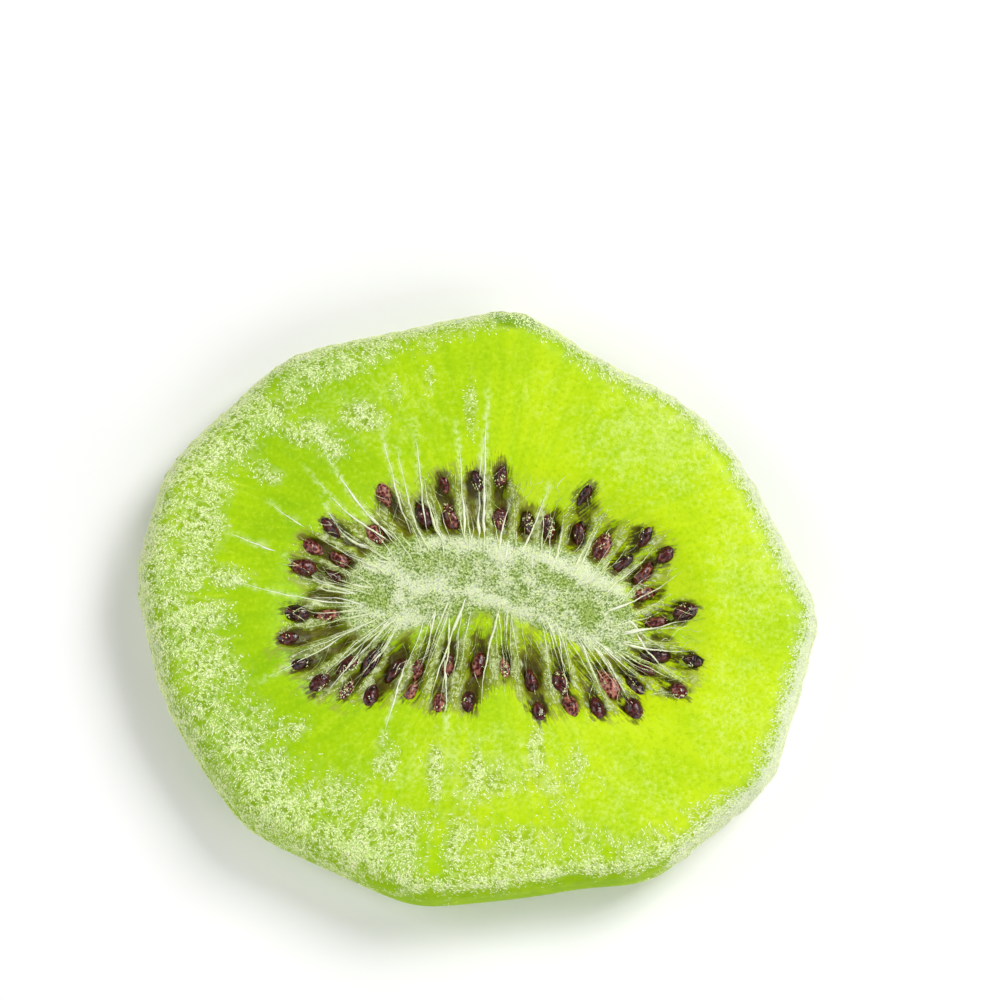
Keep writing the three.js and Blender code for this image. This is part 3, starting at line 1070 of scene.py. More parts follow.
grain = add_node(tree, "ShaderNodeAttribute", attribute_name="grain").outputs["Vector"]
streaks = noise(tree, grain, 1.5, detail=4, roughness=0.6)
fine_streaks = noise(tree, grain, 4.2, detail=3, shift=3)
clouds = noise(tree, place, 120, detail=3, shift=1)
mottle = noise(tree, place, 1000, detail=4, roughness=0.68, shift=2)
fine_mottle = noise(tree, place, 3200, detail=3, roughness=0.6, shift=4)

# Painted light: the flesh's tone rises towards the right, where the light falls on it and comes through it.
to_the_right = parts_of(tree, place)["X"]
across = spread(tree, to_the_right, -25 * MM, 22 * MM, -0.42, -0.02)
tone = plus(tree, across, times(tree, streaks, 0.45), times(tree, clouds, 0.75))
tone = plus(tree, tone, times(tree, fine_mottle, 0.2))
flesh = ramp(tree, tone, [(0.1, FLESH_DEEP), (0.45, FLESH_MIDDLE), (0.75, FLESH_BRIGHT)])
pale_streak = times(tree, spread(tree, fine_streaks, 0.56, 0.72), spread(tree, clouds, 0.42, 0.62))
flesh = blend(tree, times(tree, pale_streak, 0.55), flesh, FLESH_STREAK)
flesh = blend(tree, spread(tree, fine_mottle, 0.52, 0.72, 0.0, 0.3), flesh, FLESH_STREAK)
flesh = blend(tree, spread(tree, fine_mottle, 0.28, 0.48, 0.3, 0.0), flesh, FLESH_DEEP)
print("flesh:", len(tree.nodes), "nodes so far")

# %% [markdown]
# The zone of the pockets is olive and see-through, darker in the pockets, and darkest by the seeds, where
# painted shade lies round each seed.
# The walls and the core are paler, and their colours reach into each other. Each layer below lies
# over the ones before it. A hard edge would look cut out, so noise tears every edge first.

# %% Layers of pockets, walls and core
def ragged(tree, name, strength, low, high, texture):
    """A fact of the mesh with its soft edge broken up by a texture. Where the fact is 0, so is this."""
    known = kept(tree, name)
    uneven = times(tree, plus(tree, texture, -0.5), strength)
    return times(tree, spread(tree, plus(tree, known, uneven), low, high), spread(tree, known, 0.02, 0.25))


ZONE_DARK = rgb(78, 68, 14)
ZONE_GREEN = rgb(126, 130, 28)
ZONE_PALE = rgb(170, 182, 68)
POCKET_DARK = rgb(46, 30, 6)
POCKET_OLIVE = rgb(102, 86, 22)
POCKET_LIME = rgb(124, 134, 18)
SEED_SHADE = rgb(60, 44, 8)
WALL_GREEN = rgb(138, 152, 62)
WALL_PALE = rgb(214, 228, 170)
CORE_DARK = rgb(104, 136, 46)
CORE_PALE = rgb(178, 202, 104)
CORE_WHITE = rgb(244, 251, 222)

fibres = noise(tree, grain, 6.5, detail=3, roughness=0.6, shift=31)
torn = spread(tree, plus(tree, times(tree, mottle, 0.5), times(tree, fibres, 0.5)), 0.4, 0.6)
zone_look = ramp(tree, torn, [(0.1, ZONE_DARK), (0.5, ZONE_GREEN), (0.9, ZONE_PALE)])
colour = blend(tree, times(tree, ragged(tree, "zone", 0.8, 0.15, 0.8, torn), 0.78), flesh, zone_look)
blotchy = plus(tree, times(tree, fibres, 0.6), times(tree, mottle, 0.4))
pocket_look = ramp(tree, blotchy, [(0.4, POCKET_DARK), (0.52, POCKET_OLIVE), (0.64, POCKET_LIME)])
colour = blend(tree, times(tree, ragged(tree, "pocket", 0.9, 0.1, 0.75, torn), 0.85), colour, pocket_look)
# Painted shade round each seed, mostly on its inner side, where it sits in its hollow. The tissue by a seed
# is a little darker too.
colour = blend(tree, times(tree, ragged(tree, "shade", 1.3, 0.3, 1.2, torn), 0.7), colour, SEED_SHADE)
wall_look = ramp(tree, fine_mottle, [(0.4, WALL_GREEN), (0.56, WALL_PALE)])
colour = blend(tree, times(tree, ragged(tree, "wall", 1.0, 0.3, 0.8, torn), 0.8), colour, wall_look)

core_look = ramp(tree, core_speckle(tree, place), [(0.38, CORE_DARK), (0.58, CORE_PALE)])
colour = blend(tree, ragged(tree, "core", 0.5, 0.2, 0.85, torn), colour, core_look)
core_or_line = maths(tree, "MAXIMUM", kept(tree, "core"), kept(tree, "white"))
whitened = times(tree, core_white(tree, place, kept(tree, "white")), core_or_line)
colour = blend(tree, times(tree, whitened, 0.8), colour, CORE_WHITE)

# %% [markdown]
# The rim has no pockets: it is the plain green of the outer flesh, in two mottled tones. The syrup
# inside keeps a little of all light, so a thin dark layer lies over everything up to here.

# %% Rim and syrup
RIM_DEEP = rgb(138, 186, 0)
RIM_GREEN = rgb(174, 216, 22)
SYRUP_DARK = rgb(0, 0, 0)
SYRUP_DEPTH = 0.07  # the share of light that the syrup in the flesh keeps

rim_tone = plus(tree, times(tree, mottle, 0.6), times(tree, clouds, 0.4))
rim_look = ramp(tree, rim_tone, [(0.36, RIM_DEEP), (0.64, RIM_GREEN)])
colour = blend(tree, times(tree, kept(tree, "rim"), 0.8), colour, rim_look)
colour = blend(tree, SYRUP_DEPTH, colour, SYRUP_DARK)
print("with the rim:", len(tree.nodes), "nodes so far")

# %% [markdown]
# The crystals that can be told apart are a mesh of their own, further down. What is too fine for that
# is painted here: a thin haze, a web of threads under the crystals, painted shade in the gaps between
# them, white streaks beside the long strands, and the crust.

# %% Painted sugar
SUGAR_FILM = rgb(232, 248, 168)
SUGAR_BLOOM = rgb(234, 252, 160)
SUGAR_GAP_SHADE = rgb(118, 148, 4)
SUGAR_CRUST = rgb(240, 252, 200)
SUGAR_WHITE = rgb(220, 230, 194)

sugar = kept(tree, "sugar")
web = sugar_web(tree, place, grain, sugar)
clumps = sugar_clumps(tree, place, grain, sugar)
off_rim = spread(tree, kept(tree, "rim"), 0.0, 1.0, 1.0, 0.3)
# Painted shade in the gaps between the crystals of a clump, weaker on the rim.
painted_gap_shade = times(tree, clumps, maths(tree, "SUBTRACT", 1.0, web), off_rim)
haze = kept(tree, "haze")
cloudy = spread(tree, plus(tree, haze, times(tree, plus(tree, mottle, fine_mottle, -1.0), 1.3)), 0.1, 1.0)
thin_haze = times(tree, cloudy, spread(tree, haze, 0.0, 0.3))
under_bloom = maths(tree, "MAXIMUM", thin_haze, times(tree, clumps, 0.5))
bloom = times(tree, fine_threads(tree, place, 0.08), under_bloom)
streak = times(tree, kept(tree, "streak"), spread(tree, fine_mottle, 0.38, 0.56))
colour = blend(tree, times(tree, thin_haze, 0.3), colour, SUGAR_FILM)
colour = blend(tree, times(tree, painted_gap_shade, 0.7), colour, SUGAR_GAP_SHADE)
colour = blend(tree, times(tree, bloom, 0.4), colour, SUGAR_BLOOM)
colour = blend(tree, times(tree, streak, 0.62), colour, SUGAR_CRUST)
colour = blend(tree, times(tree, web, 0.38), colour, SUGAR_CRUST)
crusty = plus(tree, sugar, sugar_lumps(tree, place, grain), times(tree, plus(tree, fine_mottle, -0.5), 1.6))
colour = blend(tree, spread(tree, crusty, 1.3, 1.75, 0.0, 0.95), colour, SUGAR_WHITE)

# %% [markdown]
# The knife left a scrap of green skin on the top corner. It is a soft spot round one place of the
# fruit, longer along the rim than across it.

# %% Scrap of skin
SKIN_GREEN = rgb(96, 150, 14)
SKIN_PLACE = (3.2 * MM, 21.4 * MM, 6.0 * MM)
SKIN_SIZE = (0.45 / MM, 0.9 / MM, 0.3 / MM)  # one over its half size along each axis
from_skin = vector_maths(tree, "MULTIPLY", vector_maths(tree, "SUBTRACT", place, SKIN_PLACE), SKIN_SIZE)
skin = add_node(tree, "ShaderNodeVectorMath", {0: from_skin}, operation="LENGTH").outputs["Value"]
on_skin = spread(tree, plus(tree, skin, mottle), 1.2, 1.8, 0.6, 0.0)
colour = blend(tree, on_skin, colour, SKIN_GREEN)

# %% [markdown]
# Last come the bump and the shine. The flesh is moist and half smooth, while sugar is rough and dull,
# so the roughness follows the sugar. Red and green light travel about a millimetre in the flesh, and
# blue hardly at all, which keeps the fruit's shadows warm and green.

# %% Bump and shine of the fruit
ripples = noise(tree, grain, 3.2, detail=3, shift=11)
height = plus(tree, times(tree, ripples, 0.5), times(tree, mottle, 0.4), times(tree, web, 1.2))
grainy = spread(tree, plus(tree, thin_haze, clumps), 0.0, 0.8, 0.2, 1.0)
height = plus(tree, height, times(tree, fine_mottle, grainy))
finish = {
    "Base Color": colour,
    "Roughness": spread(tree, plus(tree, clumps, web), 0.0, 0.8, 0.4, 0.8),
    "Specular IOR Level": spread(tree, kept(tree, "rim"), 0.0, 1.0, 0.2, 0.02),
    "Subsurface Weight": 0.35,
    "Subsurface Radius": (1.0, 1.0, 0.2),
    "Subsurface Scale": 1.2 * MM,
    "Normal": bumped(tree, 0.5, 0.07, height),
}
set_inputs(tree, shader, finish)
print("fruit material:", len(tree.nodes), "nodes")

# %% [markdown]
# ## Fine relief
#
# Dried flesh has a grain that runs outwards from the core, a fibrous core and a crust where sugar
# grew. Bump in a material only fakes this, so a small tree moves the mesh itself along its own
# normals, by a tenth or two of a millimetre. It leaves the flat ring that the slice rests on alone.

# %% Relief tree
RELIEF = {
    "Grain": 0.06 * MM,
    "Pulp": 0.34 * MM,
    "Crust": 0.8 * MM,
    "Web": 0.05 * MM,
    "White lines": 0.1 * MM,
    "Resting height": 0.25 * MM,
}

tree, inputs = new_tree("dried relief", RELIEF)
where = position(tree)
grain = fact(tree, "grain", "FLOAT_VECTOR")
grain_noise = plus(tree, noise(tree, grain, 3.0), -0.5)
pulp_noise = plus(tree, noise(tree, where, 1000, detail=4, roughness=0.62), -0.52)
crust_noise = plus(tree, noise(tree, where, 620, detail=4, roughness=0.6, shift=2), -0.46)
pulpy = plus(tree, fact(tree, "zone"), times(tree, fact(tree, "core"), -0.5))
amount = fact(tree, "sugar")
move = plus(
    tree,
    times(tree, grain_noise, inputs["Grain"]),
    times(tree, pulp_noise, pulpy, inputs["Pulp"]),
    times(tree, crust_noise, spread(tree, amount, 0.4, 1.3), inputs["Crust"]),
    times(tree, sugar_web(tree, where, grain, amount), inputs["Web"]),
    times(tree, fact(tree, "white"), inputs["White lines"]),
)
off_table = {"Value": parts_of(tree, where)["Z"], "From Min": 0.0, "From Max": inputs["Resting height"]}
move = times(tree, move, add_node(tree, "ShaderNodeMapRange", off_table).outputs["Result"])
end_tree(tree, moved_outwards(tree, inputs["Geometry"], move), fruit_material)

slice_piece = run_tree(fruit, tree, RELIEF, "kiwi_slice_fruit")
bpy.data.objects.remove(fruit)

# %% [markdown]
# ## Seeds
#
# A kiwi seed is a glossy, flattened drop about two millimetres long, with fine pits all over. The
# tree makes one drop from a sphere that narrows to one end, and puts a copy on each point that the
# pocket rule gives, turned outwards from the core. Noise then makes each a little different.

# %% Seed material
PITS_PER_METRE = 4200.0


def between_pits(tree, where):
    """0 in the middle of each pit, rising to 1 between the pits."""
    inputs = {"Vector": where, "Scale": PITS_PER_METRE, "Randomness": 0.9}
    pits = add_node(tree, "ShaderNodeTexVoronoi", inputs)
    return spread(tree, pits.outputs["Distance"], 0.25, 0.75)


seed_material, tree, shader, place = new_material("kiwi_seed")
blotches = noise(tree, place, 1500, detail=3)
ridges = between_pits(tree, place)
SEED_DARK = rgb(22, 6, 3)
SEED_RED = rgb(88, 20, 19)
SEED_TAN_AND_GLINT = rgb(188, 118, 98)
# The tan at the ramp's top is partly a painted glint: the ridges between the pits push towards it, as lit
# pit edges look. Blotches and each seed's own tone make some seeds tan as well.
own_tone = times(tree, kept(tree, "tone"), 0.4)
mixed = plus(tree, times(tree, blotches, 0.6), own_tone, times(tree, ridges, 0.3))
seed_colour = ramp(tree, mixed, [(0.4, SEED_DARK), (0.76, SEED_RED), (1.0, SEED_TAN_AND_GLINT)])
finish = {
    "Base Color": seed_colour,
    "Roughness": spread(tree, blotches, 0.3, 0.7, 0.2, 0.45),
    "Specular IOR Level": 0.35,
    "Coat Weight": 0.4,
    "Coat Roughness": 0.1,
    "Normal": bumped(tree, 0.8, 0.03, ridges),
}
set_inputs(tree, shader, finish)
print("seed material:", len(tree.nodes), "nodes")

# %% [markdown]
# Sculpting each seed would take long and end up with copies anyway. In the tree, one ball is laid on
# its side and narrowed towards one end by a formula, and an instance of it goes on each point. The
# instances are made real before noise dents them, so that no two end up alike.

# %% Seed tree
SEED_SIZES = {
    "Length": SEED["length"] * MM,
    "Width": SEED["width"] * MM,
    "Thickness": SEED["thick"] * MM,
    "Narrowing": 0.35,
    "Pointedness": 0.6,
    "Lumps": 0.14 * MM,
    "Pits": 0.035 * MM,
    "Steps round": 34,
    "Steps along": 24,
}
tree, inputs = new_tree("seeds in pockets", SEED_SIZES)
steps = {"Segments": inputs["Steps round"], "Rings": inputs["Steps along"], "Radius": 0.5}
ball = add_node(tree, "GeometryNodeMeshUVSphere", steps).outputs["Mesh"]
on_its_side = {"Geometry": ball, "Rotation": (0, math.pi / 2, 0)}
ball = add_node(tree, "GeometryNodeTransform", on_its_side).outputs[0]
where = position(tree)
part = parts_of(tree, where)
narrow = maths(tree, "SUBTRACT", 1.0, times(tree, part["X"], inputs["Narrowing"]))
narrow = maths(tree, "SUBTRACT", narrow, times(tree, part["X"], part["X"], inputs["Pointedness"]))
sides = (
    times(tree, part["X"], inputs["Length"]),
    times(tree, part["Y"], narrow, inputs["Width"]),
    times(tree, part["Z"], narrow, inputs["Thickness"]),
)
shaped = {"Geometry": ball, "Position": joined(tree, *sides)}
drop = add_node(tree, "GeometryNodeSetPosition", shaped).outputs[0]
drop = add_node(tree, "GeometryNodeSetShadeSmooth", {"Geometry": drop}).outputs[0]
spin = add_node(tree, "FunctionNodeEulerToRotation", {0: fact(tree, "spin", "FLOAT_VECTOR")})
instances = {
    "Points": add_node(tree, "GeometryNodeMeshToPoints", {"Mesh": inputs["Geometry"]}).outputs[0],
    "Instance": drop,
    "Rotation": spin.outputs[0],
    "Scale": fact(tree, "size", "FLOAT_VECTOR"),
}
real = add_node(tree, "GeometryNodeInstanceOnPoints", instances).outputs[0]
real = add_node(tree, "GeometryNodeRealizeInstances", {"Geometry": real}).outputs[0]
lumps = times(tree, plus(tree, noise(tree, where, 1100, detail=2), -0.5), inputs["Lumps"])
pit_depth = plus(tree, between_pits(tree, where), -0.6)
move = plus(tree, lumps, times(tree, pit_depth, inputs["Pits"]))
end_tree(tree, moved_outwards(tree, real, move), seed_material)
print("seed tree:", len(tree.nodes), "nodes")

# %% [markdown]
# The points for the tree carry each seed's spin, size and tone. Seeds tip a little in their pockets,
# some are slimmer or longer than others, and a few have sunk deeper as the flesh dried.

# %% Seed points
def point_object(name, points, **facts):
    """A mesh of loose points that carry facts, for a tree to work on."""
    mesh = bpy.data.meshes.new(name)
    mesh.from_pydata((np.asarray(points) * MM).tolist(), [], [])
    for fact_name, values in facts.items():
        add_fact(mesh, fact_name, np.asarray(values, float))
    return add_object(name, mesh)


SEED_SINKS = 0.3  # at most, in mm: some seeds lie deeper in the flesh than others
SEED_TIPS = (0.6, 0.5)  # radians about its two level axes, half of it to each side
# Of its own size: the least, and how much more at most.
SLIMNESS = (0.66, 0.3)
LENGTHS = (0.86, 0.18)
FLATNESS = 0.97


def seed_facts(draw):
    """Each seed's place, how it is spun, its size along each axis, and its tone."""
    for name, inwards in (("shown", -1), ("back", 1)):
        for seed in SEEDS[name]:
            tips = [(next(draw) - 0.5) * tip for tip in SEED_TIPS]
            size = seed["size"]
            slim = size * (SLIMNESS[0] + SLIMNESS[1] * next(draw))
            long = size * (LENGTHS[0] + LENGTHS[1] * next(draw))
            sunk = seed["middle"] + np.array([0, 0, inwards * SEED_SINKS * next(draw) ** 2])
            yield sunk, (*tips, seed["heading"]), (long, slim, size * FLATNESS), next(draw)


middles, spins, sizes, tones = zip(*seed_facts(drawer(RANDOM_SEED + 4)))
seed_points = point_object("seed_points", middles, spin=spins, size=sizes, tone=tones)
seed_piece = run_tree(seed_points, tree, SEED_SIZES, "kiwi_seeds")
bpy.data.objects.remove(seed_points)

# %% [markdown]
# ## White strands
#
# Thin white strands run out from the core along the walls between the pockets, and some go on far
# into the flesh. Each is a line of points laid on the fruit, and the tree sweeps a small ring along
# it that shrinks towards both ends. Noise makes it beaded, as dried fibres are.

# %% Lay a strand on the fruit
bpy.context.view_layer.update()
depsgraph = bpy.context.evaluated_depsgraph_get()
surfaces = [BVHTree.FromObject(piece, depsgraph) for piece in (slice_piece, seed_piece)]


def surface_height(x, y, name):
    """The height in mm of a face at a place of the plan, or of a seed there."""
    up = 1 if name == "shown" else -1
    start = Vector((x * MM, y * MM, up * 20 * MM))
    hits = [surface.ray_cast(start, Vector((0, 0, -up)))[0] for surface in surfaces]
    return up * max(up * hit.z / MM for hit in hits if hit)


STRAND_POINTS = 20
STRAND_SINKS = 0.25  # of its half thickness
# A strand is full from 1 / STARTS of its length on, thins over the last 1 / ENDS of it, and its broad
# root is gone after 1 / ROOT_ENDS of it.
STARTS = 6
ENDS = 1.5
ROOT_ENDS = 2.6
strands = []  # each is (points, half thickness at each point, tone)


def lay_strand(plan, thick, tone, name="shown", stretch=0.5, broad=1.0):
    """Lays a strand over a face: broad at its start and fine at its end.

    stretch is how far it is pulled straight between its ends, instead of following each hollow.
    """
    up = 1 if name == "shown" else -1
    ground = np.array([surface_height(x, y, name) for x, y in plan])
    share = np.linspace(0, 1, len(plan))
    straight = ground[0] + (ground[-1] - ground[0]) * share
    lifted = up * np.maximum(up * ground, up * (ground + (straight - ground) * stretch))
    height = lifted - up * STRAND_SINKS * thick
    root = 1 + (broad - 1) * np.clip(1 - share * ROOT_ENDS, 0, 1)
    body = thick * root * np.clip((1 - share) * ENDS, 0.1, 1) * np.clip(share * STARTS, 0.05, 1)
    strands.append((np.column_stack([plan, height]), body, tone))


# %% [markdown]
# Two rules draw the strands from above. A strand by a wall follows its spoke and sways a little. A
# long one goes from one place of the list to another in a shallow bow. Many fine short threads lie
# between them, where the real fruit's pulp has torn into fibres.

# %% Strand paths
def wall_strand(turn, start, end, sway, lean, thick, tone, name="shown", broad=1.0):
    """A strand that runs outwards near a wall, from start to end mm beyond the core's edge."""
    out = np.linspace(0, 1, STRAND_POINTS)
    origin, outward, _ = spoke(np.full(STRAND_POINTS, turn))
    across = np.stack([-outward[:, 1], outward[:, 0]], 1)
    aside = sway * np.sin(out * 2.6) + lean * (end - start) * out
    plan = origin + outward * (start + (end - start) * out)[:, None] + across * aside[:, None]
    lay_strand(plan, thick, tone, name, broad=broad)


def long_strand(start, end, bow, thick, broad):
    """A strand between two places in mm, bowed to one side."""
    start, end = np.array(start) - MIDDLE, np.array(end) - MIDDLE
    share = np.linspace(0, 1, STRAND_POINTS)[:, None]
    across = np.array([-(end - start)[1], (end - start)[0]]) / np.linalg.norm(end - start)
    plan = start + (end - start) * share + across * bow * np.sin(math.pi * share)
    lay_strand(plan, thick * 0.9, 1.0, stretch=0.1, broad=broad)


for strand in LONG_STRANDS:
    long_strand(*strand)

draw = drawer(RANDOM_SEED + 5)


def between(low, high):
    """The next drawn number, from low to high."""
    return low + (high - low) * next(draw)


WALL_STRANDS = {"shown": 4, "back": 1}  # by each wall
THIN_STRAND = (0.025, 0.06)  # least and greatest half thickness, in mm
RIBBON = (0.07, 0.14)  # the same for the first strand on each shown wall
for name, copies in WALL_STRANDS.items():
    for turn in walls[:-1]:
        for copy in range(copies):
            is_ribbon = copy == 0 and name == "shown"
            at = turn + between(-0.06, 0.06)
            start = between(-2.0, -0.4)
            end = between(0.6, 5.0) + LOWER_ROWS_FURTHER * float(lower_side(turn))
            bend = (between(-0.45, 0.45), between(-0.16, 0.16))
            look = (between(*(RIBBON if is_ribbon else THIN_STRAND)), between(0.5, 1.0))
            wall_strand(at, start, end, *bend, *look, name, between(1.0, 2.6))
THREADS = 420
THREAD = (0.014, 0.032)  # least and greatest half thickness, in mm
for _ in range(THREADS):
    turn = between(0, TAU)
    start = between(-0.4, 4.6)
    end = start + between(0.5, 2.0)
    bend = (between(-0.5, 0.5), between(-0.8, 0.8))
    wall_strand(turn, start, end, *bend, between(*THREAD), between(0, 0.9))
print(len(strands), "strands")

# %% [markdown]
# A dry strand is white, and one that is still soaked with syrup is green or tan. Each strand's own
# tone and a fine noise pick a colour from one ramp, so that some change from place to place.

# %% Strand material
strand_material, tree, shader, place = new_material("white_strand")
dots = noise(tree, place, 3800, detail=3)
bright = plus(tree, times(tree, dots, 0.7), times(tree, kept(tree, "tone"), 0.55), -0.1)
STRAND_TAN = rgb(120, 96, 44)
STRAND_GREEN = rgb(176, 196, 96)
STRAND_PALE = rgb(236, 244, 200)
STRAND_WHITE = rgb(252, 254, 236)
stops = [(0.25, STRAND_TAN), (0.42, STRAND_GREEN), (0.62, STRAND_PALE), (0.82, STRAND_WHITE)]
finish = {
    "Base Color": ramp(tree, bright, stops),
    "Roughness": 0.42,
    "Specular IOR Level": 0.5,
    "Normal": bumped(tree, 0.6, 0.03, dots),
}
set_inputs(tree, shader, finish)
print("strand material:", len(tree.nodes), "nodes")

# %% [markdown]
# A curve with a bevel would have one thickness. The tree instead sweeps a flattened ring of six
# points along each line, with a scale from the line's own thickness and from a noise that beads it.

# %% Strand tree
STRAND_SIZES = {"Beading": 3.0, "Crookedness": 0.4 * MM, "Flatness": 0.6, "Sides": 6}
tree, inputs = new_tree("white strands", STRAND_SIZES)
curve = add_node(tree, "GeometryNodeMeshToCurve", {"Mesh": inputs["Geometry"]}).outputs[0]
where = position(tree)
crooked = {"Vector": where, "Scale": 620.0, "Detail": 3.0}
crooked = add_node(tree, "ShaderNodeTexNoise", crooked).outputs["Color"]
sideways = vector_maths(tree, "SUBTRACT", crooked, (0.5, 0.5, 0.5))
sideways = vector_maths(tree, "MULTIPLY", sideways, (1, 1, 0.2))
offset = scaled(tree, sideways, inputs["Crookedness"])
curve = add_node(tree, "GeometryNodeSetPosition", {"Geometry": curve, "Offset": offset}).outputs[0]
curve = add_node(tree, "GeometryNodeSetCurveNormal", {"Curve": curve}, mode="Z_UP").outputs[0]
beads = plus(tree, noise(tree, where, 2400, detail=2), -0.5)
swell = maths(tree, "MAXIMUM", plus(tree, times(tree, beads, inputs["Beading"]), 1.0), 0.1)
profile = {"Resolution": inputs["Sides"], "Radius": 1.0}
profile = add_node(tree, "GeometryNodeCurvePrimitiveCircle", profile).outputs[0]
flat = joined(tree, inputs["Flatness"], 1.0, 1.0)
profile = add_node(tree, "GeometryNodeTransform", {"Geometry": profile, "Scale": flat}).outputs[0]
sweep = {
    "Curve": curve,
    "Profile Curve": profile,
    "Scale": times(tree, fact(tree, "thick"), swell),
    "Fill Caps": True,
}
swept = add_node(tree, "GeometryNodeCurveToMesh", sweep).outputs[0]
smooth = add_node(tree, "GeometryNodeSetShadeSmooth", {"Geometry": swept}).outputs[0]
end_tree(tree, smooth, strand_material)
print("strand tree:", len(tree.nodes), "nodes")

# %% [markdown]
# The tree needs curves. A curve object for each strand would work, but one mesh of loose edges holds
# them all, and keeps each point's thickness and tone, and the tree turns the edges into curves.

# %% Strands as lines
strand_lines = point_object("strand_lines", np.concatenate([points for points, _, _ in strands]))
strand_mesh = strand_lines.data
links = []
first = 0
for points, _, _ in strands:
    links += [(first + i, first + i + 1) for i in range(len(points) - 1)]
    first += len(points)
strand_mesh.edges.add(len(links))
strand_mesh.edges.foreach_set("vertices", np.ravel(links))
add_fact(strand_mesh, "thick", np.concatenate([thick for _, thick, _ in strands]) * MM)
add_fact(strand_mesh, "tone", np.concatenate([np.full(len(points), tone) for points, _, tone in strands]))
strand_piece = run_tree(strand_lines, tree, STRAND_SIZES, "kiwi_strands")
bpy.data.objects.remove(strand_lines)

# %% [markdown]
# ## Sugar crystals
#
# The sugar grew as tiny needles and grains that lie flat on the fruit, many with their neighbours'
# direction. The tree scatters points on the fruit where its sugar fact and some noise allow, and
# puts a crystal with six faces on each. It runs once for each kind of sugar: needles and finer dust
# on the cut face, needles on the rim, a fuzz on the core, coarser crumbs in the crust, and fine
# grains on the strands and the seeds.

# %% Sugar material
sugar_material, tree, shader, place = new_material("sugar_crystal")
facets = noise(tree, place, 2500, detail=2)
# Crystals look green by the flesh under them. Towards the right they are whiter: the crust is thick there,
# and the extra white also paints the strong light on that side.
CRYSTAL_SHADES = [(0.35, rgb(234, 255, 154)), (0.6, rgb(250, 255, 204))]
CRYSTAL_WHITES = [(0.35, rgb(232, 244, 182)), (0.6, rgb(242, 249, 212))]
whiter_by_crust_and_light = spread(tree, parts_of(tree, place)["X"], 10 * MM, 21 * MM)
crystal_colour = blend(tree, whiter_by_crust_and_light, ramp(tree, facets, CRYSTAL_SHADES), ramp(tree, facets, CRYSTAL_WHITES))
finish = {
    "Base Color": crystal_colour,
    "Roughness": spread(tree, facets, 0.3, 0.7, 0.25, 0.5),
    "Specular IOR Level": 0.5,
}
set_inputs(tree, shader, finish)
print("sugar material:", len(tree.nodes), "nodes")

# %% [markdown]
# One function builds the tree for every kind of sugar. Its points land at random, and closer together
# where the share is higher. Real crystals have many fine faces. Here one is a ball of only three
# sides and two rings, stretched to a needle or a grain, because there are many thousands of them.

# %% Sugar tree
SUGAR_HEADING = -2.1  # radians, plus SUGAR_SWEEP more at most, which changes slowly over the fruit
SUGAR_SWEEP = 2.4
HEADING_SPREAD = (-0.6, 0.6)
TILT = (-0.3, 0.3)  # radians out of the surface, so that not all catch the light alike
LENGTH_SPREAD = (0.55, 1.45)
WIDTH_SPREAD = (0.7, 1.3)


def sugar_tree(name, sizes, lies_on, outwards):
    """A tree that scatters crystals. lies_on(tree, where) gives the share from 0 to 1."""
    tree, inputs = new_tree(name, sizes)
    where = position(tree)
    share = lies_on(tree, where)
    scattered = add_node(
        tree,
        "GeometryNodeDistributePointsOnFaces",
        {
            "Mesh": inputs["Geometry"],
            "Density": maths(tree, "MULTIPLY", share, inputs["Crystals per square metre"]),
            "Seed": inputs["Seed"],
        },
        distribute_method="RANDOM",
    ).outputs
    crystal = add_node(tree, "GeometryNodeMeshUVSphere", {"Segments": 3, "Rings": 2, "Radius": 0.5})
    flat = {"Geometry": crystal.outputs[0], "Shade Smooth": False}
    crystal = add_node(tree, "GeometryNodeSetShadeSmooth", flat)
    if outwards:
        grain = parts_of(tree, fact(tree, "grain", "FLOAT_VECTOR"))
        heading = maths(tree, "ARCTAN2", grain["Y"], grain["X"])
    else:
        slow = noise(tree, where, 260, detail=1, shift=21)
        heading = plus(tree, times(tree, slow, SUGAR_SWEEP), SUGAR_HEADING)
    heading = plus(tree, heading, random_between(tree, *HEADING_SPREAD, 3))
    angles = joined(tree, random_between(tree, *TILT, 11), random_between(tree, *TILT, 13), heading)
    turn = add_node(tree, "FunctionNodeEulerToRotation", {0: angles}).outputs[0]
    turned = add_node(
        tree,
        "FunctionNodeRotateRotation",
        {0: scattered["Rotation"], 1: turn},
        rotation_space="LOCAL",
    ).outputs[0]
    length = maths(tree, "MULTIPLY", inputs["Length"], random_between(tree, *LENGTH_SPREAD, 5))
    width = maths(tree, "MULTIPLY", inputs["Width"], random_between(tree, *WIDTH_SPREAD, 7))
    sugar = add_node(
        tree,
        "GeometryNodeInstanceOnPoints",
        {
            "Points": scattered["Points"],
            "Instance": crystal.outputs[0],
            "Rotation": turned,
            "Scale": joined(tree, length, width, inputs["Thickness"]),
        },
    ).outputs[0]
    end_tree(tree, sugar, sugar_material)
    return tree


# %% [markdown]
# Each kind of sugar has its own small function for where it lies. All read the fruit's sugar fact and
# the same noise as the material, so that the crystals fall on the painted web and not beside it.

# %% Where each kind of sugar lies
CRYSTAL_REACH = 0.35 * MM  # no crystal reaches further down than this
FACE_EDGE_HEIGHT = 4.6 * MM  # the shown face and its rounded edge are above this, the rim below


def above_height(tree, where, height):
    """1 above a height in metres and 0 below it."""
    return maths(tree, "GREATER_THAN", parts_of(tree, where)["Z"], height)


def above_the_table(tree, where):
    """0 where a crystal would reach below the surface that the slice lies on."""
    return above_height(tree, where, CRYSTAL_REACH)


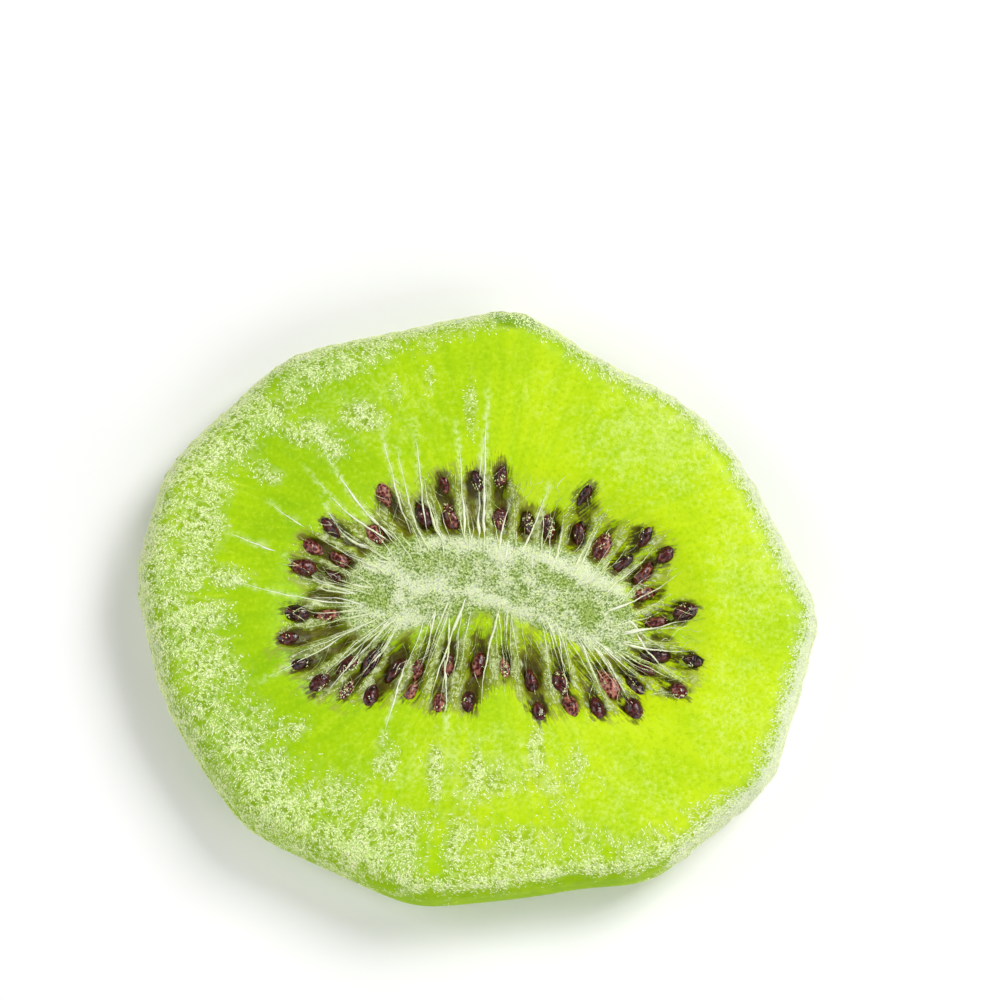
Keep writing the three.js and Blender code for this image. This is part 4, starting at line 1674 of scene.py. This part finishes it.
def web_on_fruit(tree, where, less=0.0):
    """The share under crystals by the fruit's own facts, with so much less sugar."""
    grain = fact(tree, "grain", "FLOAT_VECTOR")
    return sugar_web(tree, where, grain, plus(tree, fact(tree, "sugar"), -less))


def on_shown_face(tree, where):
    """On the web of the shown face."""
    return times(tree, web_on_fruit(tree, where), above_height(tree, where, FACE_EDGE_HEIGHT))


def finely_on_shown_face(tree, where):
    """Finely over whole clumps of the shown face, also between the web's threads."""
    amount = fact(tree, "sugar")
    lumps = sugar_lumps(tree, where, fact(tree, "grain", "FLOAT_VECTOR"))
    clump = spread(tree, plus(tree, amount, times(tree, plus(tree, lumps, -0.5), 1.2)), 0.2, 1.1)
    return times(tree, clump, spread(tree, amount, 0.1, 0.4), above_height(tree, where, FACE_EDGE_HEIGHT))


def on_rim_and_back(tree, where):
    """On the web of the rim and the back face, off the table."""
    below = maths(tree, "SUBTRACT", 1.0, above_height(tree, where, FACE_EDGE_HEIGHT))
    return times(tree, web_on_fruit(tree, where), below, above_the_table(tree, where))


def on_core(tree, where):
    """On the white patches and lines of the core, and a little on the walls."""
    white = fact(tree, "white")
    on_it = times(tree, core_white(tree, where, white), maths(tree, "MAXIMUM", fact(tree, "core"), white))
    on_it = plus(tree, on_it, times(tree, fact(tree, "wall"), 0.24))
    return times(tree, on_it, above_the_table(tree, where))


def on_crust(tree, where):
    """Where there is most sugar."""
    return times(tree, web_on_fruit(tree, where, less=0.3), above_the_table(tree, where))


def on_strands(tree, where):
    """In clumps on the whiter strands."""
    clumps = spread(tree, noise(tree, where, 900, detail=2, shift=25), 0.4, 0.6)
    return times(tree, clumps, spread(tree, fact(tree, "tone"), 0.3, 0.7), above_the_table(tree, where))


def on_seeds(tree, where):
    """In a few clumps on the seeds."""
    clumps = spread(tree, noise(tree, where, 700, detail=2, shift=23), 0.56, 0.62)
    return times(tree, clumps, above_the_table(tree, where))


# %% [markdown]
# The kinds differ in what they lie on, how close together they are and how large. Each becomes a
# piece of its own, with its own random seed, so that one can be changed without the others. All share
# one material.

# %% The kinds of sugar
PER_SQUARE_MM = 1e6  # turns a number per square millimetre into one per square metre
SUGAR_KINDS = {
    # name: (piece it lies on, where it lies, outwards, number per square mm, length, width, thickness)
    "sugar_needles": (slice_piece, on_shown_face, False, 54, 0.36, 0.115, 0.035),
    "sugar_dust": (slice_piece, finely_on_shown_face, False, 16, 0.17, 0.09, 0.04),
    "rim_sugar": (slice_piece, on_rim_and_back, False, 46, 0.34, 0.115, 0.035),
    "core_fuzz": (slice_piece, on_core, True, 90, 0.22, 0.07, 0.03),
    "sugar_crumbs": (slice_piece, on_crust, False, 30, 0.24, 0.18, 0.11),
    "strand_sugar": (strand_piece, on_strands, False, 90, 0.14, 0.07, 0.05),
    "seed_sugar": (seed_piece, on_seeds, False, 20, 0.22, 0.12, 0.07),
}
sugar_pieces = []
for kind, (piece, lies_on, outwards, number, length, width, thickness) in SUGAR_KINDS.items():
    sizes = {
        "Crystals per square metre": number * PER_SQUARE_MM,
        "Length": length * MM,
        "Width": width * MM,
        "Thickness": thickness * MM,
        "Seed": 31 + 2 * len(sugar_pieces),
    }
    tree = sugar_tree(kind, sizes, lies_on, outwards)
    sugar_pieces.append(run_tree(piece, tree, sizes, f"kiwi_{kind}"))

# %% [markdown]
# ## What the frame needs to know
#
# Each piece rides on the imported body, a table lists which of the record's finishes it takes, and
# the imported solid is hidden, as the fruit stands for it.

# %% Riding, slots and replaced solids
SLOTS = {slice_piece: "flesh", seed_piece: "seed", strand_piece: "fibre"}
SLOTS.update({piece: "sugar" for piece in sugar_pieces})
for piece, slot in SLOTS.items():
    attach(piece, "root")
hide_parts("kiwi_slice")

# %% [markdown]
# ## Table, light and camera
#
# The table is plain and nearly white, and dull, so that the slice's soft shadow is all that shows on
# it.

# %% Table
table_material, tree, shader, place = new_material("white_table")
paint = noise(tree, place, 40, detail=2)
finish = {
    "Base Color": ramp(tree, paint, [(0.3, rgb(250, 250, 250)), (0.7, rgb(254, 254, 254))]),
    "Roughness": 0.7,
    "Specular IOR Level": 0.2,
}
set_inputs(tree, shader, finish)
TABLE_HALF = 1.5  # metres
table_mesh = bpy.data.meshes.new("table")
corners = [(x * TABLE_HALF, y * TABLE_HALF, 0) for x, y in ((-1, -1), (1, -1), (1, 1), (-1, 1))]
table_mesh.from_pydata(corners, [], [(0, 1, 2, 3)])
table_mesh.materials.append(table_material)
table = add_object("table", table_mesh)
print("table:", 2 * TABLE_HALF, "m wide")

# %% [markdown]
# Four soft lamps stand round the slice, a little under halfway up to straight above it or just over,
# and the strongest is at the upper right. Nothing bright is straight above, because a white
# reflection on the moist cut face would wash its green out. Each lamp is placed by its turn and
# height round one aim point, and turned to face it.

# %% Lamps
LAMPS = {
    # name: (turn in degrees, height in degrees, distance, breadth, watts)
    "key": (40, 48, 0.60, 0.26, 2.38),
    "left": (170, 40, 0.60, 0.36, 1.03),
    "front": (265, 42, 0.60, 0.36, 0.87),
    "right": (330, 40, 0.60, 0.36, 0.92),
}
aim = Vector((0, 0, 0.004))
for name, (turn, height, distance, breadth, watts) in LAMPS.items():
    lamp = bpy.data.lights.new(name, "AREA")
    lamp.energy = watts
    lamp.size = breadth
    light = add_object(name, lamp)
    turn, height = math.radians(turn), math.radians(height)
    flat = math.cos(height)
    direction = Vector((math.cos(turn) * flat, math.sin(turn) * flat, math.sin(height)))
    light.location = aim + direction * distance
    light.rotation_euler = direction.to_track_quat("Z", "Y").to_euler()
print(len(LAMPS), "lamps,", round(sum(lamp[-1] for lamp in LAMPS.values()), 2), "watts")

# %% [markdown]
# A faint white sky fills what the lamps leave dark. The colours are shown as they are, without the
# film look that Blender starts with, which would turn the lime green dull.

# %% Sky
SKY_STRENGTH = 0.15
world = bpy.data.worlds.new("soft sky")
world.use_nodes = True
sky = {"Color": (1, 1, 1, 1), "Strength": SKY_STRENGTH}
set_inputs(world.node_tree, world.node_tree.nodes["Background"], sky)
bpy.context.scene.world = world
bpy.context.scene.view_settings.view_transform = "Standard"
print("sky strength:", SKY_STRENGTH)

# %% [markdown]
# The camera looks down on the slice, a little from its lower side, so that a strip of the rim shows
# there. Its lens is long, so that near and far parts keep their size. How far off it stands follows
# from the lens and from how much of the face's plane the image shows.

# %% Camera
LENS = 150.0  # mm
SENSOR = 36.0  # mm
IMAGE_WIDTH = 73.6  # how much of the face's plane the image shows, in mm
CAMERA_TILT = math.radians(9)
VIEW_CENTRE = Vector((1.7, 7.5, 6.6)) * MM

camera_data = bpy.data.cameras.new("camera")
camera_data.lens = LENS
camera_data.sensor_width = SENSOR
camera = add_object("camera", camera_data)
back_off = IMAGE_WIDTH * MM * LENS / SENSOR
camera.location = VIEW_CENTRE + Vector((0, -math.sin(CAMERA_TILT), math.cos(CAMERA_TILT))) * back_off
camera.rotation_euler = (CAMERA_TILT, 0, 0)
bpy.context.scene.camera = camera
print(f"camera {back_off:.3f} m from the face")
